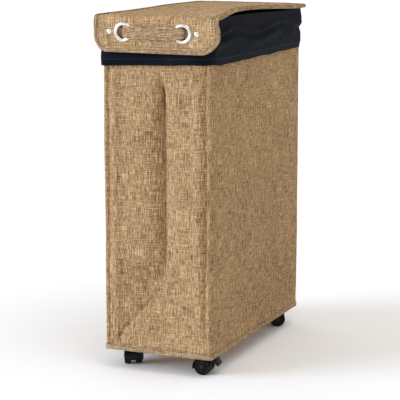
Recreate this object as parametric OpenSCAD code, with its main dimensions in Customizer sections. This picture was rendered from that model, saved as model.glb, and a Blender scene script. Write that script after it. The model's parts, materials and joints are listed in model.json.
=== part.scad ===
// Slim rolling laundry hamper: a woven fabric shell on corner rods, a fold-over liner bag,
// a padded lid with a drop flap and a strap handle, and four twin-wheel swivel casters.
// Millimetres. Origin on the floor at the bottom centre of the bounding box; +Z is up and
// the lid's flap faces -Y.

/* [Body] */
// Width of the fabric shell
body_w = 203; // [170:1:280]
// Depth of the fabric shell
body_d = 427; // [350:1:560]
// Height of the fabric shell, from its underside to its rim
body_h = 580; // [420:1:760]
// Thickness of the lined fabric panels
panel_t = 2; // [1.2:0.1:3.5]
// Height of the welt sewn round the bottom edge
welt_h = 8.5; // [5:0.5:16]
// How far the welt stands proud of the panels
welt_t = 1.5; // [0.8:0.1:3]

/* [Frame] */
// Thickness of the stiff base board
board_t = 5; // [3:0.5:9]
// Gap between the base board and the panels
board_gap = 1; // [0.5:0.1:3]
// Diameter of the corner rods
rod_d = 6; // [4:0.5:8]
// Radial clearance of a rod in its sleeve
rod_clear = 0.2; // [0.1:0.05:0.5]
// Wall of the sewn tube that holds a rod
sleeve_wall = 1.3; // [0.8:0.1:2]
// Thickness of the sleeve's sewn flanges
flange_t = 1; // [0.6:0.1:1.6]
// Width of the sleeve's flange on a short panel
flange_short = 22; // [16:1:32]
// Width of the sleeve's flange on a long panel
flange_long = 25; // [16:1:36]
// Diameter of the wire hoop in the rim
wire_d = 4; // [3:0.5:5]
// Clearance round the wire hoop inside its hem
wire_clear = 0.2; // [0.1:0.05:0.4]
// Centreline radius of the wire hoop's corners
wire_corner_r = 12; // [8:1:20]
// Height of the rim hem
hem_h = 12; // [9:0.5:18]
// Thickness of the rim hem
hem_t = 5.5; // [5.5:0.1:7]

/* [Liner] */
// Thickness of the liner fabric
liner_t = 1; // [0.6:0.1:1.5]
// Gap between the rim hem and the liner bag
liner_gap = 1.5; // [0.8:0.1:3]
// Chamfer of the bag's corners, which clears the rod sleeves
liner_chamfer = 9; // [8:0.5:20]
// Height of the bag's floor above the base board
liner_lift = 5; // [4.5:0.5:12]
// Clearance between the fold-over and the rim
fold_clear = 0.4; // [0.3:0.1:1]
// How far the cuff hangs down outside the rim
cuff_drop = 73; // [40:1:110]
// How far the cuff stands off the panels
cuff_proud = 5; // [5:0.5:14]
// Thickness of the hanging cuff
cuff_t = 1.5; // [1:0.1:2.5]
// Corner radius of the cuff in plan
cuff_corner_r = 14; // [8:1:24]

/* [Lid] */
// How far the lid reaches past each side of the shell
lid_overhang = 13; // [10:0.5:20]
// Clearance between the lid and the liner's fold-over
lid_clear = 0.6; // [0.3:0.1:2]
// Thickness of the lid's board
lid_board_t = 5; // [3:0.5:9]
// Thickness of the lid's top fabric and of its lining
lid_skin = 1.5; // [0.8:0.1:2.5]
// Thickness of the binding round the lid's edge
binding_t = 1.5; // [0.8:0.1:3]
// Radius of the lid's rear corners in plan
lid_corner_r = 6; // [3:0.5:20]
// Width of the fabric hinge strip
hinge_w = 160; // [80:1:165]
// Thickness of the hinge strip
hinge_t = 1.5; // [0.8:0.1:2.5]
// Gap between the cuff and the hinge strip
hinge_gap = 2.1; // [0.8:0.1:4]
// Gap between the hinge strip and the lid's rear edge
lid_rear_gap = 0.4; // [0.3:0.1:1.5]
// Height of the strip's seam on the back panel
hinge_seam_h = 30; // [15:1:60]
// Height over which the strip steps out round the cuff
hinge_step_h = 8; // [5:0.5:20]
// Gap between the strip's step and the cuff's lower edge
hinge_step_clear = 2; // [1:0.5:6]

/* [Flap] */
// Height of the flap that hangs in front
flap_h = 62; // [50:1:110]
// Radius of the flap's lower corners
flap_corner_r = 28; // [8:1:40]
// Thickness of the flap's board
flap_board_t = 2.5; // [1.5:0.1:5]
// Thickness of the flap's front fabric and of its lining
flap_skin = 1.25; // [0.8:0.05:2.5]
// Inset of the flap's board inside its edge
flap_board_inset = 1.5; // [1:0.5:6]
// Gap between the flap and the cuff
flap_gap = 4; // [3.7:0.1:8]
// Gap at the fold between the lid and the flap
fold_gap = 0.5; // [0.3:0.1:1.5]

/* [Handle] */
// Distance from the centre plane to a grommet's centre
grommet_x = 55; // [46:1:62]
// Depth of the grommets' centres below the lid's top
grommet_drop = 28; // [22:0.5:30]
// Inner diameter of a grommet
grommet_id = 22; // [20:0.5:26]
// Outer diameter of a grommet
grommet_od = 32.5; // [30:0.5:36]
// Wall of a grommet's barrel
barrel_t = 0.6; // [0.4:0.1:1]
// Clearance round what passes through the flap
flap_hole_clear = 0.15; // [0.05:0.05:0.4]
// Thickness of the washer behind a grommet
washer_t = 0.8; // [0.5:0.1:1.2]
// Outer diameter of the washer behind a grommet
washer_od = 31; // [28:0.5:34]
// Width of the strap across the front
strap_w = 22; // [16:0.5:24]
// Width of the strap where it passes through the grommets
strap_neck_w = 14; // [10:0.5:15]
// Thickness of the strap
strap_t = 2.5; // [1.5:0.1:3]
// Thickness of the strap's flattened ends behind the flap
strap_end_t = 1.5; // [1:0.1:2]
// Gap between the strap and the flap at the middle
strap_bow = 6; // [5:0.5:14]
// Distance from the centre plane to a rivet
rivet_x = 81; // [78:1:90]
// Diameter of a rivet's domed head
rivet_head_d = 9; // [7:0.5:11]
// Rise of a rivet's domed head
rivet_rise = 1.8; // [1:0.1:3]
// Diameter of a rivet's shank
rivet_d = 3; // [2:0.1:4]
// Thickness of a rivet's flat back cap
rivet_cap_t = 0.7; // [0.5:0.1:1]
// Diameter of a rivet's back cap
rivet_cap_d = 8; // [6:0.5:10]

/* [Casters] */
// Height of the shell's underside above the floor
clearance = 35; // [35:0.5:60]
// Distance of a caster's swivel axis from the nearest sides of the shell
caster_inset = 37; // [30:1:50]
// Horizontal distance from the swivel axis to the axle
trail = 9; // [7:0.5:11]
// Wheel diameter
wheel_d = 30; // [26:0.5:30]
// Width of one wheel
wheel_w = 11.5; // [9:0.5:13]
// Gap between a wheel and the web between the wheels
wheel_gap = 0.5; // [0.3:0.1:1]
// Thickness of the web between the wheels
web_t = 7; // [6.8:0.1:9]
// Thickness of the hood over the wheels
hood_t = 1.8; // [1.2:0.1:2]
// Clearance between the wheels and the hood
hood_clear = 0.8; // [0.5:0.1:1]
// How far the hood reaches past the outer faces of the wheels
hood_side = 1.5; // [1.3:0.1:3]
// Diameter of the axle pin
axle_d = 4; // [3:0.1:5]
// Thickness of the axle pin's heads
axle_head_t = 0.9; // [0.5:0.1:1]
// Diameter of the kingpin
kingpin_d = 4.5; // [3:0.1:4.6]
// Radial clearance of the pins that turn
running_clear = 0.1; // [0.03:0.01:0.1]
// Side of the square top plate
plate_w = 38; // [34:1:44]
// Thickness of the top plate
plate_t = 1.8; // [1.5:0.1:2.5]
// Distance between a plate's screw holes
screw_pitch = 30; // [26:1:32]
// Screw thread diameter
screw_d = 3; // [2.5:0.1:3.5]
// Diameter of the flat screw head
screw_head_d = 6; // [5:0.1:6.5]
// Width across the corners of a nut
nut_d = 6.3; // [5.5:0.1:7.5]
// Height of a nut
nut_h = 2.4; // [1.6:0.1:3]
// Rest direction of the front left caster, from +X
angle_fl = 120; // [0:1:359]
// Rest direction of the front right caster
angle_fr = 5; // [0:1:359]
// Rest direction of the back left caster
angle_bl = 62; // [0:1:359]
// Rest direction of the back right caster
angle_br = 28; // [0:1:359]

/* [Brake] */
// Distance from the axle to the lever's pivot
lever_pivot_r = 18.5; // [18.4:0.1:19.5]
// Angle of the lever's pivot above the horizontal, seen from the axle
lever_pivot_angle = 35; // [30:1:40]
// Diameter of the lever's pivot pin
lever_pin_d = 3; // [2:0.1:3.4]
// Width of the brake lever
lever_w = 20; // [14:0.5:26]

/* [Hidden] */
$fn = 64;
eps = 0.5; // overshoot of a cut past the face it opens
FL = 0;
FR = 1;
BL = 2;
BR = 3;
corners = [[-1, -1], [1, -1], [-1, 1], [1, 1]];
rest_angles = [angle_fl, angle_fr, angle_bl, angle_br];

inner_w = body_w - 2 * panel_t;
inner_d = body_d - 2 * panel_t;
floor_z = clearance + panel_t;
board_top = floor_z + board_t;
rim_z = clearance + body_h;
hem_z = rim_z - hem_h;

tube_r = rod_d / 2 + rod_clear + sleeve_wall;
tube_sink = flange_t / 2; // how far the tube is sunk into the flanges it is sewn to
tube_inset = tube_r + flange_t - tube_sink;

bag_w = inner_w - 2 * (hem_t + liner_gap);
bag_d = inner_d - 2 * (hem_t + liner_gap);
bag_z = board_top + liner_lift;
turnover_z = rim_z + fold_clear;
liner_top = turnover_z + liner_t;
cuff_w = body_w + 2 * cuff_proud;
cuff_d = body_d + 2 * cuff_proud;
cuff_z = turnover_z - cuff_drop;

lid_w = body_w + 2 * lid_overhang;
lid_z = liner_top + lid_clear;
lid_t = lid_board_t + 2 * lid_skin;
lid_top = lid_z + lid_t;
flap_t = flap_board_t + 2 * flap_skin;
flap_back_y = -(cuff_d / 2 + flap_gap);
flap_face_y = flap_back_y - flap_t;
lid_front_y = flap_back_y + fold_gap;
strip_y = cuff_d / 2 + hinge_gap;
lid_rear_y = strip_y - lid_rear_gap;
grommet_z = lid_top - grommet_drop;

front_reach = -flap_face_y + strap_bow + strap_t;
back_reach = strip_y + hinge_t;
y_shift = (front_reach - back_reach) / 2; // centres the bounding box on the origin

wheel_r = wheel_d / 2;
hood_in_r = wheel_r + hood_clear;
hood_out_r = hood_in_r + hood_t;
hood_w = web_t + 2 * (wheel_gap + wheel_w + hood_side);
hood_front = 195; // end of the hood's closed side, in degrees from the trailing side
hood_rear = 60; // end of the hood above the trailing side
boss_r = kingpin_d / 2 + running_clear + 1.2;
kingpin_low = wheel_r + 4;
plate_z = clearance - plate_t;
boss_top = plate_z - 0.5;
screw_r = screw_d / 2;
screw_hole_r = screw_r + 0.1;
screw_head_h = (screw_head_d - screw_d) / 2;
screw_top = board_top + nut_h + 1;
lug_r = 3.4;
lever_gap = 0.3; // between the lever's knuckles and the lug
knuckle_r = 3;
pivot_u = trail + lever_pivot_r * cos(lever_pivot_angle);
pivot_z = wheel_r + lever_pivot_r * sin(lever_pivot_angle);

tan = [0.73, 0.59, 0.41];
dark_tan = [0.62, 0.49, 0.33];
navy = [0.09, 0.10, 0.16];
black = [0.06, 0.06, 0.07];
nickel = [0.80, 0.80, 0.78];
steel = [0.62, 0.63, 0.65];
card = [0.70, 0.63, 0.52];

// ---- shared shapes ----

// Everything on the hamper is drawn about the shell's own centre plane and moved here.
module placed() translate([0, y_shift, 0]) children();

// Rectangle centred on the origin with quarter-round corners.
module round_rect(w, d, r) {
    square([w - 2 * r, d], center = true);
    square([w, d - 2 * r], center = true);
    for (c = corners) translate([c[0] * (w / 2 - r), c[1] * (d / 2 - r)]) circle(r);
}

// Rectangle centred on the origin with its corners cut at 45 degrees.
module cut_rect(w, d, c) {
    x = w / 2;
    y = d / 2;
    polygon([[x - c, -y], [x, -y + c], [x, y - c], [x - c, y],
             [-x + c, y], [-x, y - c], [-x, -y + c], [-x + c, -y]]);
}

// Closed hoop of round wire, straight along the sides and bent at the corners.
module hoop(w, d, bend_r, wire_r) {
    for (s = [-1, 1]) {
        translate([0, s * d / 2, 0]) rotate([0, 90, 0])
            cylinder(r = wire_r, h = w - 2 * bend_r, center = true);
        translate([s * w / 2, 0, 0]) rotate([90, 0, 0])
            cylinder(r = wire_r, h = d - 2 * bend_r, center = true);
    }
    for (i = [0:3])
        translate([[1, -1, -1, 1][i] * (w / 2 - bend_r), [1, 1, -1, -1][i] * (d / 2 - bend_r), 0])
            rotate([0, 0, 90 * i]) rotate_extrude(angle = 90) translate([bend_r, 0]) circle(wire_r);
}

// ---- fabric shell ----

module short_panel(side) {
    color(tan) placed()
        translate([-inner_w / 2, side * (body_d - panel_t) / 2 - panel_t / 2, floor_z])
            cube([inner_w, panel_t, body_h - panel_t]);
}

module long_panel(side) {
    color(tan) placed()
        translate([side * (body_w - panel_t) / 2 - panel_t / 2, -body_d / 2, floor_z])
            cube([panel_t, body_d, body_h - panel_t]);
}

module bottom_panel() {
    color(tan) placed() difference() {
        translate([0, 0, clearance]) linear_extrude(panel_t) square([body_w, body_d], center = true);
        at_screws() translate([0, 0, clearance - eps]) cylinder(r = screw_hole_r, h = panel_t + 2 * eps);
    }
}

module bottom_welt() {
    color(dark_tan) placed() translate([0, 0, clearance]) linear_extrude(welt_h) difference() {
        round_rect(body_w + 2 * welt_t, body_d + 2 * welt_t, welt_t);
        square([body_w, body_d], center = true);
    }
}

// ---- frame ----

module base_board() {
    color(card) placed() difference() {
        translate([0, 0, floor_z]) linear_extrude(board_t)
            square([inner_w - 2 * board_gap, inner_d - 2 * board_gap], center = true);
        at_screws() translate([0, 0, floor_z - eps]) cylinder(r = screw_hole_r, h = board_t + 2 * eps);
    }
}

// Puts a shape that is drawn in the corner between -X and -Y into the named corner of the shell.
module in_corner(i) {
    placed() mirror([corners[i][0] > 0 ? 1 : 0, 0, 0]) mirror([0, corners[i][1] > 0 ? 1 : 0, 0])
        translate([-inner_w / 2, -inner_d / 2, 0]) children();
}

module corner_rod(i) {
    color(steel) in_corner(i) translate([tube_inset, tube_inset, board_top])
        cylinder(d = rod_d, h = hem_z - 1 - board_top);
}

module rod_sleeve(i) {
    sleeve_z = board_top + 1;
    color(dark_tan) in_corner(i) translate([0, 0, sleeve_z]) linear_extrude(hem_z - 2 - sleeve_z)
        difference() {
            union() {
                square([flange_short, flange_t]);
                square([flange_t, flange_long]);
                translate([tube_inset, tube_inset]) circle(tube_r);
            }
            translate([tube_inset, tube_inset]) circle(rod_d / 2 + rod_clear);
        }
}

module rim_hoop(wire_r) {
    translate([0, 0, hem_z + hem_h / 2])
        hoop(inner_w - hem_t, inner_d - hem_t, wire_corner_r, wire_r);
}

module rim_wire() {
    color(steel) placed() rim_hoop(wire_d / 2);
}

module rim_hem() {
    color(dark_tan) placed() difference() {
        translate([0, 0, hem_z]) linear_extrude(hem_h) difference() {
            square([inner_w, inner_d], center = true);
            round_rect(inner_w - 2 * hem_t, inner_d - 2 * hem_t, wire_corner_r - hem_t / 2);
        }
        rim_hoop(wire_d / 2 + wire_clear);
    }
}

// ---- liner ----

module bag_outline(inset) {
    cut_rect(bag_w - 2 * inset, bag_d - 2 * inset, liner_chamfer - inset * (2 - sqrt(2)));
}

// Bag, its fold over the rim and the cuff that hangs outside.
module liner_bag() {
    color(navy) placed() {
        translate([0, 0, bag_z]) linear_extrude(liner_t) bag_outline(0);
        translate([0, 0, bag_z]) linear_extrude(turnover_z - bag_z) difference() {
            bag_outline(0);
            bag_outline(liner_t);
        }
    }
}

// The liner's fold-over and the cuff that hangs outside the rim.
module liner_cuff() {
    color(navy) placed() {
        translate([0, 0, turnover_z]) linear_extrude(liner_t) difference() {
            round_rect(cuff_w, cuff_d, cuff_corner_r);
            bag_outline(liner_t);
        }
        translate([0, 0, cuff_z]) linear_extrude(liner_top - cuff_z) difference() {
            round_rect(cuff_w, cuff_d, cuff_corner_r);
            round_rect(cuff_w - 2 * cuff_t, cuff_d - 2 * cuff_t, cuff_corner_r - cuff_t);
        }
    }
}

// ---- lid ----

// Fabric strip sewn to the back panel, stepped out round the cuff and up to the lid's rear edge.
module hinge_strip() {
    back_y = body_d / 2;
    step_top = cuff_z - hinge_step_clear;
    seam_top = step_top - hinge_step_h;
    seam_z = seam_top - hinge_seam_h;
    top = lid_top - 0.5;
    color(tan) placed() rotate([90, 0, 90]) linear_extrude(hinge_w, center = true) polygon([
        [back_y, seam_z], [back_y + hinge_t, seam_z], [back_y + hinge_t, seam_top - hinge_t / 2],
        [strip_y + hinge_t, step_top - hinge_t / 2], [strip_y + hinge_t, top], [strip_y, top],
        [strip_y, step_top + hinge_t / 2], [back_y, seam_top + hinge_t / 2]
    ]);
}

// Plan of the lid, square at the fold and rounded at the rear corners.
module lid_outline(inset) {
    w = lid_w - 2 * inset;
    r = lid_corner_r - inset;
    rear = lid_rear_y - inset;
    translate([-w / 2, lid_front_y]) square([w, rear - r - lid_front_y]);
    translate([-w / 2 + r, lid_front_y]) square([w - 2 * r, rear - lid_front_y]);
    for (s = [-1, 1]) translate([s * (w / 2 - r), rear - r]) circle(r);
}

module lid_layer(z, t) {
    placed() translate([0, 0, z]) linear_extrude(t) lid_outline(binding_t);
}

module lid_lining() color(navy) lid_layer(lid_z, lid_skin);
module lid_board() color(card) lid_layer(lid_z + lid_skin, lid_board_t);
module lid_top_fabric() color(tan) lid_layer(lid_top - lid_skin, lid_skin);

module lid_binding() {
    color(dark_tan) placed() translate([0, 0, lid_z]) linear_extrude(lid_t) difference() {
        lid_outline(0);
        lid_outline(binding_t);
    }
}

// ---- flap and handle ----

// Stands a flat shape in the flap's plane: depth is measured back from the flap's face.
module in_flap(depth) {
    placed() translate([0, flap_face_y + depth, lid_top]) rotate([90, 0, 0]) children();
}

module flap_outline(inset) {
    w = lid_w - 2 * inset;
    r = flap_corner_r - inset;
    low = inset - flap_h;
    translate([-w / 2, low + r]) square([w, -inset - low - r]);
    translate([-w / 2 + r, low]) square([w - 2 * r, -inset - low]);
    for (s = [-1, 1]) translate([s * (w / 2 - r), low + r]) circle(r);
}

module flap_layer(depth, t, inset) {
    in_flap(depth + t) linear_extrude(t) difference() {
        flap_outline(inset);
        for (s = [-1, 1]) {
            translate([s * grommet_x, -grommet_drop]) circle(grommet_id / 2 + barrel_t + flap_hole_clear);
            translate([s * rivet_x, -grommet_drop]) circle(rivet_d / 2 + flap_hole_clear);
        }
    }
}

module flap_front_fabric() color(tan) flap_layer(0, flap_skin, 0);
module flap_board() color(card) flap_layer(flap_skin, flap_board_t, flap_board_inset);
module flap_lining() color(navy) flap_layer(flap_skin + flap_board_t, flap_skin, 0);

// Half-round ring on the face with a barrel through the flap.
module grommet(side) {
    ring_r = (grommet_od - grommet_id) / 4;
    color(nickel) in_flap(0) translate([side * grommet_x, -grommet_drop, 0]) {
        rotate_extrude() intersection() {
            translate([grommet_id / 2 + ring_r, 0]) circle(ring_r);
            translate([grommet_id / 2, 0]) square([2 * ring_r, ring_r]);
        }
        translate([0, 0, -flap_t - washer_t]) rotate_extrude()
            translate([grommet_id / 2, 0]) square([barrel_t, flap_t + washer_t]);
    }
}

module grommet_washers() {
    color(nickel) for (s = [-1, 1])
        in_flap(flap_t + washer_t) translate([s * grommet_x, -grommet_drop, 0])
            rotate_extrude() translate([grommet_id / 2 + barrel_t, 0])
                square([washer_od / 2 - grommet_id / 2 - barrel_t, washer_t]);
}

strap_back = -(flap_t + washer_t + strap_end_t);
neck_x = grommet_x - 4; // inner side of the strap where it turns through the grommet
strap_end_x = rivet_x + 8;

// Right half of the strap seen from above: distance along the flap, and in front of its face.
module strap_half() {
    bow = strap_bow;
    t = strap_t;
    bend_x = grommet_x - grommet_od / 2; // where the strap starts to dive towards the grommet
    polygon([
        [0, bow + t], [bend_x - 1.5, bow + t], [bend_x + 4, bow + t - 1], [bend_x + 9, bow * 0.75],
        [neck_x + t - 0.5, 1], [neck_x + t, -1], [neck_x + t, strap_back + strap_end_t],
        [strap_end_x, strap_back + strap_end_t], [strap_end_x, strap_back], [neck_x, strap_back],
        [neck_x, -1], [neck_x - 2, 1], [bend_x + 6.25, bow * 0.6], [bend_x + 2.75, bow * 0.85],
        [bend_x - 2.5, bow], [0, bow]
    ]);
}

// Flat across the front, narrowed through the grommets and flattened behind the flap.
module handle_strap() {
    wide_end = grommet_x - 10;
    color(tan) placed() translate([0, flap_face_y, grommet_z]) difference() {
        for (s = [0, 1]) mirror([s, 0, 0]) mirror([0, 1, 0]) {
            linear_extrude(strap_neck_w, center = true) strap_half();
            linear_extrude(strap_w, center = true) intersection() {
                strap_half();
                translate([0, 1]) square([wide_end, strap_bow + strap_t]);
            }
        }
        for (s = [-1, 1]) translate([s * rivet_x, 0, 0]) rotate([-90, 0, 0])
            cylinder(r = rivet_d / 2 + flap_hole_clear, h = -strap_back + eps);
    }
}

// Domed heads on the flap's face with shanks through the flap and the strap's ends.
module rivets() {
    dome_r = (pow(rivet_head_d / 2, 2) + pow(rivet_rise, 2)) / (2 * rivet_rise);
    color(nickel) for (s = [-1, 1])
        in_flap(0) translate([s * rivet_x, -grommet_drop, 0]) {
            intersection() {
                translate([0, 0, rivet_rise - dome_r]) sphere(dome_r);
                cylinder(d = rivet_head_d + 1, h = rivet_rise + 1);
            }
            translate([0, 0, strap_back]) cylinder(d = rivet_d, h = -strap_back);
        }
}

module rivet_caps() {
    color(nickel) for (s = [-1, 1])
        in_flap(-strap_back + rivet_cap_t) translate([s * rivet_x, -grommet_drop, 0])
            cylinder(d = rivet_cap_d, h = rivet_cap_t);
}

// ---- casters ----

// Moves to a caster's swivel axis.
module at_caster(i) {
    translate([corners[i][0] * (body_w / 2 - caster_inset),
               corners[i][1] * (body_d / 2 - caster_inset), 0]) children();
}

// Turns with the caster: local +X points from the swivel axis to the axle.
module on_caster(i) {
    placed() at_caster(i) rotate([0, 0, rest_angles[i]]) children();
}

module at_screws() {
    for (i = [FL, FR, BL, BR]) at_caster(i)
        for (c = corners) translate([c[0] * screw_pitch / 2, c[1] * screw_pitch / 2, 0]) children();
}

module caster_plate(i) {
    color(black) placed() at_caster(i) difference() {
        translate([0, 0, plate_z]) linear_extrude(plate_t) round_rect(plate_w, plate_w, 4);
        translate([0, 0, plate_z - eps]) cylinder(d = kingpin_d, h = plate_t + 2 * eps);
        for (c = corners) translate([c[0] * screw_pitch / 2, c[1] * screw_pitch / 2, plate_z]) {
            translate([0, 0, -eps]) cylinder(r = screw_hole_r, h = plate_t + 2 * eps);
            cylinder(r1 = screw_head_d / 2, r2 = screw_r, h = screw_head_h);
        }
    }
}

module caster_screws() {
    color(steel) placed() at_screws() {
        translate([0, 0, plate_z]) cylinder(r1 = screw_head_d / 2, r2 = screw_r, h = screw_head_h);
        translate([0, 0, plate_z]) cylinder(r = screw_r, h = screw_top - plate_z);
    }
}

module caster_nuts() {
    color(steel) placed() at_screws() translate([0, 0, board_top]) difference() {
        cylinder(d = nut_d, h = nut_h, $fn = 6);
        translate([0, 0, -eps]) cylinder(r = screw_r, h = nut_h + 2 * eps);
    }
}

module kingpins() {
    color(steel) for (i = [FL, FR, BL, BR]) placed() at_caster(i)
        translate([0, 0, kingpin_low]) cylinder(d = kingpin_d, h = clearance - kingpin_low);
}

// Wedge from the axle between two angles less than half a turn apart.
module wedge(a, b, r) {
    polygon(concat([[0, 0]], [for (i = [0:3]) let (t = a + (b - a) * i / 3) 2 * r * [cos(t), sin(t)]]));
}

// Side view of the hood: a shell over the wheels, closed at the leading side.
module hood_shell_view() {
    difference() {
        intersection() {
            circle(hood_out_r);
            wedge(hood_rear, hood_front, hood_out_r);
        }
        circle(hood_in_r);
    }
}

// Side view of the web between the wheels; a braked one has a lug for the lever.
module hood_web_view(braked) {
    intersection() {
        circle(hood_in_r + hood_t / 2);
        union() {
            wedge(20, 110, hood_out_r);
            wedge(90, 200, hood_out_r);
        }
    }
    circle(axle_d / 2 + 3.5);
    if (braked) rotate(lever_pivot_angle) translate([lever_pivot_r, 0]) circle(lug_r);
}

module caster_hood(i) {
    braked = i == FL || i == FR;
    color(black) on_caster(i) difference() {
        union() {
            translate([trail, 0, wheel_r]) rotate([90, 0, 0]) {
                linear_extrude(hood_w, center = true) hood_shell_view();
                linear_extrude(web_t, center = true) hood_web_view(braked);
            }
            translate([0, 0, kingpin_low]) cylinder(r = boss_r, h = boss_top - kingpin_low);
        }
        translate([0, 0, kingpin_low - eps])
            cylinder(r = kingpin_d / 2 + running_clear, h = boss_top - kingpin_low + 2 * eps);
        translate([trail, 0, wheel_r]) rotate([90, 0, 0])
            cylinder(d = axle_d, h = web_t + 2 * eps, center = true);
        if (braked) translate([pivot_u, 0, pivot_z]) rotate([90, 0, 0])
            cylinder(d = lever_pin_d, h = web_t + 2 * eps, center = true);
    }
}

module axle_pin(i) {
    reach = web_t / 2 + wheel_gap + wheel_w + 0.3;
    color(steel) on_caster(i) translate([trail, 0, wheel_r]) rotate([90, 0, 0]) {
        cylinder(d = axle_d, h = 2 * reach, center = true);
        for (s = [-1, 1]) translate([0, 0, s * (reach + axle_head_t / 2)])
            cylinder(d = axle_d + 3, h = axle_head_t, center = true);
    }
}

// Wheel with a rounded tread and a dished outer face; side +1 and -1 are the two of a pair.
module wheel(i, side) {
    tread_r = 1.5;
    dish_in = axle_d / 2 + 3;
    dish_out = wheel_r - 4;
    dish_t = 1.2;
    bore_r = axle_d / 2 + running_clear;
    color(black) on_caster(i) translate([trail, side * (web_t / 2 + wheel_gap), wheel_r])
        rotate([-90 * side, 0, 0]) rotate_extrude() difference() {
            union() {
                translate([bore_r, 0]) square([wheel_r - tread_r - bore_r, wheel_w]);
                translate([bore_r, tread_r]) square([wheel_r - bore_r, wheel_w - 2 * tread_r]);
                for (z = [tread_r, wheel_w - tread_r]) translate([wheel_r - tread_r, z]) circle(tread_r);
            }
            translate([dish_in, wheel_w - dish_t]) square([dish_out - dish_in, dish_t + eps]);
        }
}

// Foot lever: two knuckles beside the lug, a nose that grips the treads and a steep paddle.
module brake_lever(i) {
    inner = web_t / 2 + lever_gap;
    cheek = lever_w / 2 - inner;
    color(black) on_caster(i) translate([pivot_u, 0, pivot_z]) rotate([90, 0, 0]) difference() {
        union() {
            for (s = [-1, 1]) translate([0, 0, s * (inner + cheek / 2)])
                linear_extrude(cheek, center = true) {
                    circle(knuckle_r);
                    translate([1.2, -3.6]) circle(1.2);
                    polygon([[-0.5, 2.6], [4, 4.6], [6.5, 3], [6, -2], [1, -2.7]]);
                }
            linear_extrude(lever_w, center = true)
                polygon([[4.2, 4.7], [6.6, 5.2], [14, -5.6], [12.4, -9], [9.6, -7.4], [4.2, 1.2]]);
        }
        cylinder(r = lever_pin_d / 2 + running_clear / 2, h = lever_w + 2 * eps, center = true);
    }
}

module lever_pin(i) {
    color(steel) on_caster(i) translate([pivot_u, 0, pivot_z]) rotate([90, 0, 0])
        cylinder(d = lever_pin_d, h = lever_w + 1, center = true);
}

// ---- nodes ----

short_panel(-1);  // front_panel
short_panel(1);  // back_panel
long_panel(-1);  // left_panel
long_panel(1);  // right_panel
bottom_panel();
bottom_welt();
base_board();
corner_rod(FL);  // corner_rod_fl
corner_rod(FR);  // corner_rod_fr
corner_rod(BL);  // corner_rod_bl
corner_rod(BR);  // corner_rod_br
rod_sleeve(FL);  // rod_sleeve_fl
rod_sleeve(FR);  // rod_sleeve_fr
rod_sleeve(BL);  // rod_sleeve_bl
rod_sleeve(BR);  // rod_sleeve_br
rim_wire();
rim_hem();
liner_bag();
liner_cuff();
hinge_strip();
caster_screws();
caster_nuts();
kingpins();
caster_plate(FL);  // caster_plate_fl
caster_plate(FR);  // caster_plate_fr
caster_plate(BL);  // caster_plate_bl
caster_plate(BR);  // caster_plate_br
caster_hood(FL);  // caster_hood_fl
caster_hood(FR);  // caster_hood_fr
caster_hood(BL);  // caster_hood_bl
caster_hood(BR);  // caster_hood_br
axle_pin(FL);  // axle_pin_fl
axle_pin(FR);  // axle_pin_fr
axle_pin(BL);  // axle_pin_bl
axle_pin(BR);  // axle_pin_br
wheel(FL, 1);  // wheel_fl_a
wheel(FL, -1);  // wheel_fl_b
wheel(FR, 1);  // wheel_fr_a
wheel(FR, -1);  // wheel_fr_b
wheel(BL, 1);  // wheel_bl_a
wheel(BL, -1);  // wheel_bl_b
wheel(BR, 1);  // wheel_br_a
wheel(BR, -1);  // wheel_br_b
brake_lever(FL);  // brake_lever_fl
brake_lever(FR);  // brake_lever_fr
lever_pin(FL);  // lever_pin_fl
lever_pin(FR);  // lever_pin_fr
lid_top_fabric();
lid_board();
lid_lining();
lid_binding();
flap_front_fabric();
flap_board();
flap_lining();
grommet(-1);  // grommet_left
grommet(1);  // grommet_right
grommet_washers();
handle_strap();
rivets();
rivet_caps();
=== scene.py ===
"""Slim rolling laundry hamper: woven shell, liner, lid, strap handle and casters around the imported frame."""

import json
import logging
import math
from contextlib import contextmanager
from dataclasses import dataclass, field
from enum import Enum
from typing import Callable, Iterator, Sequence

import bpy
from mathutils import Matrix, Vector, noise

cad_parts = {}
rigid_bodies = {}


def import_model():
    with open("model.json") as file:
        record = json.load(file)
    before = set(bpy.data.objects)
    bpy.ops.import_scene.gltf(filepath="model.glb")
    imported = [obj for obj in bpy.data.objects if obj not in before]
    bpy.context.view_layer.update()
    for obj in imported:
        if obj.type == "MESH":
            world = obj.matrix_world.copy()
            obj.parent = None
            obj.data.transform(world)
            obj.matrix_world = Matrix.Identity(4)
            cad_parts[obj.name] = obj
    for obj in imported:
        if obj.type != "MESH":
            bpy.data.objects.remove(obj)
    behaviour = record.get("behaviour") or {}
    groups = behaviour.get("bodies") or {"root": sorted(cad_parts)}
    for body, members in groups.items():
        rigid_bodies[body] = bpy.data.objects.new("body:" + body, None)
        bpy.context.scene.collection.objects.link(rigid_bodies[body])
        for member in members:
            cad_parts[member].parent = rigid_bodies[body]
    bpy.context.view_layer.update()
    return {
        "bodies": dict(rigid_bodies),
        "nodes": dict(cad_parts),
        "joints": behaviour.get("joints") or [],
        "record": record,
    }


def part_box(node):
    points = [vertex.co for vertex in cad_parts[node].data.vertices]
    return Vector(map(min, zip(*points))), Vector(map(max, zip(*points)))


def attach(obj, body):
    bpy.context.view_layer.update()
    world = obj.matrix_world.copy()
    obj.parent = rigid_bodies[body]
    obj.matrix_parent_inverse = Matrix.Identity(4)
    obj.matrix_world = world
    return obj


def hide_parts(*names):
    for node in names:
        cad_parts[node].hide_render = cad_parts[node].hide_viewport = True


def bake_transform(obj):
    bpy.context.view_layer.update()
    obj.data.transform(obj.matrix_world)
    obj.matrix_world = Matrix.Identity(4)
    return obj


LOG = logging.getLogger("hamper")
MM = 0.001
WELD = 1e-6  # points closer than this are one point
LEVEL = 0.99  # a station whose outward direction is along an axis by more than this lies on a flat side
CORNERS = {"fl": (-1, -1), "fr": (1, -1), "bl": (-1, 1), "br": (1, 1)}

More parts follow.
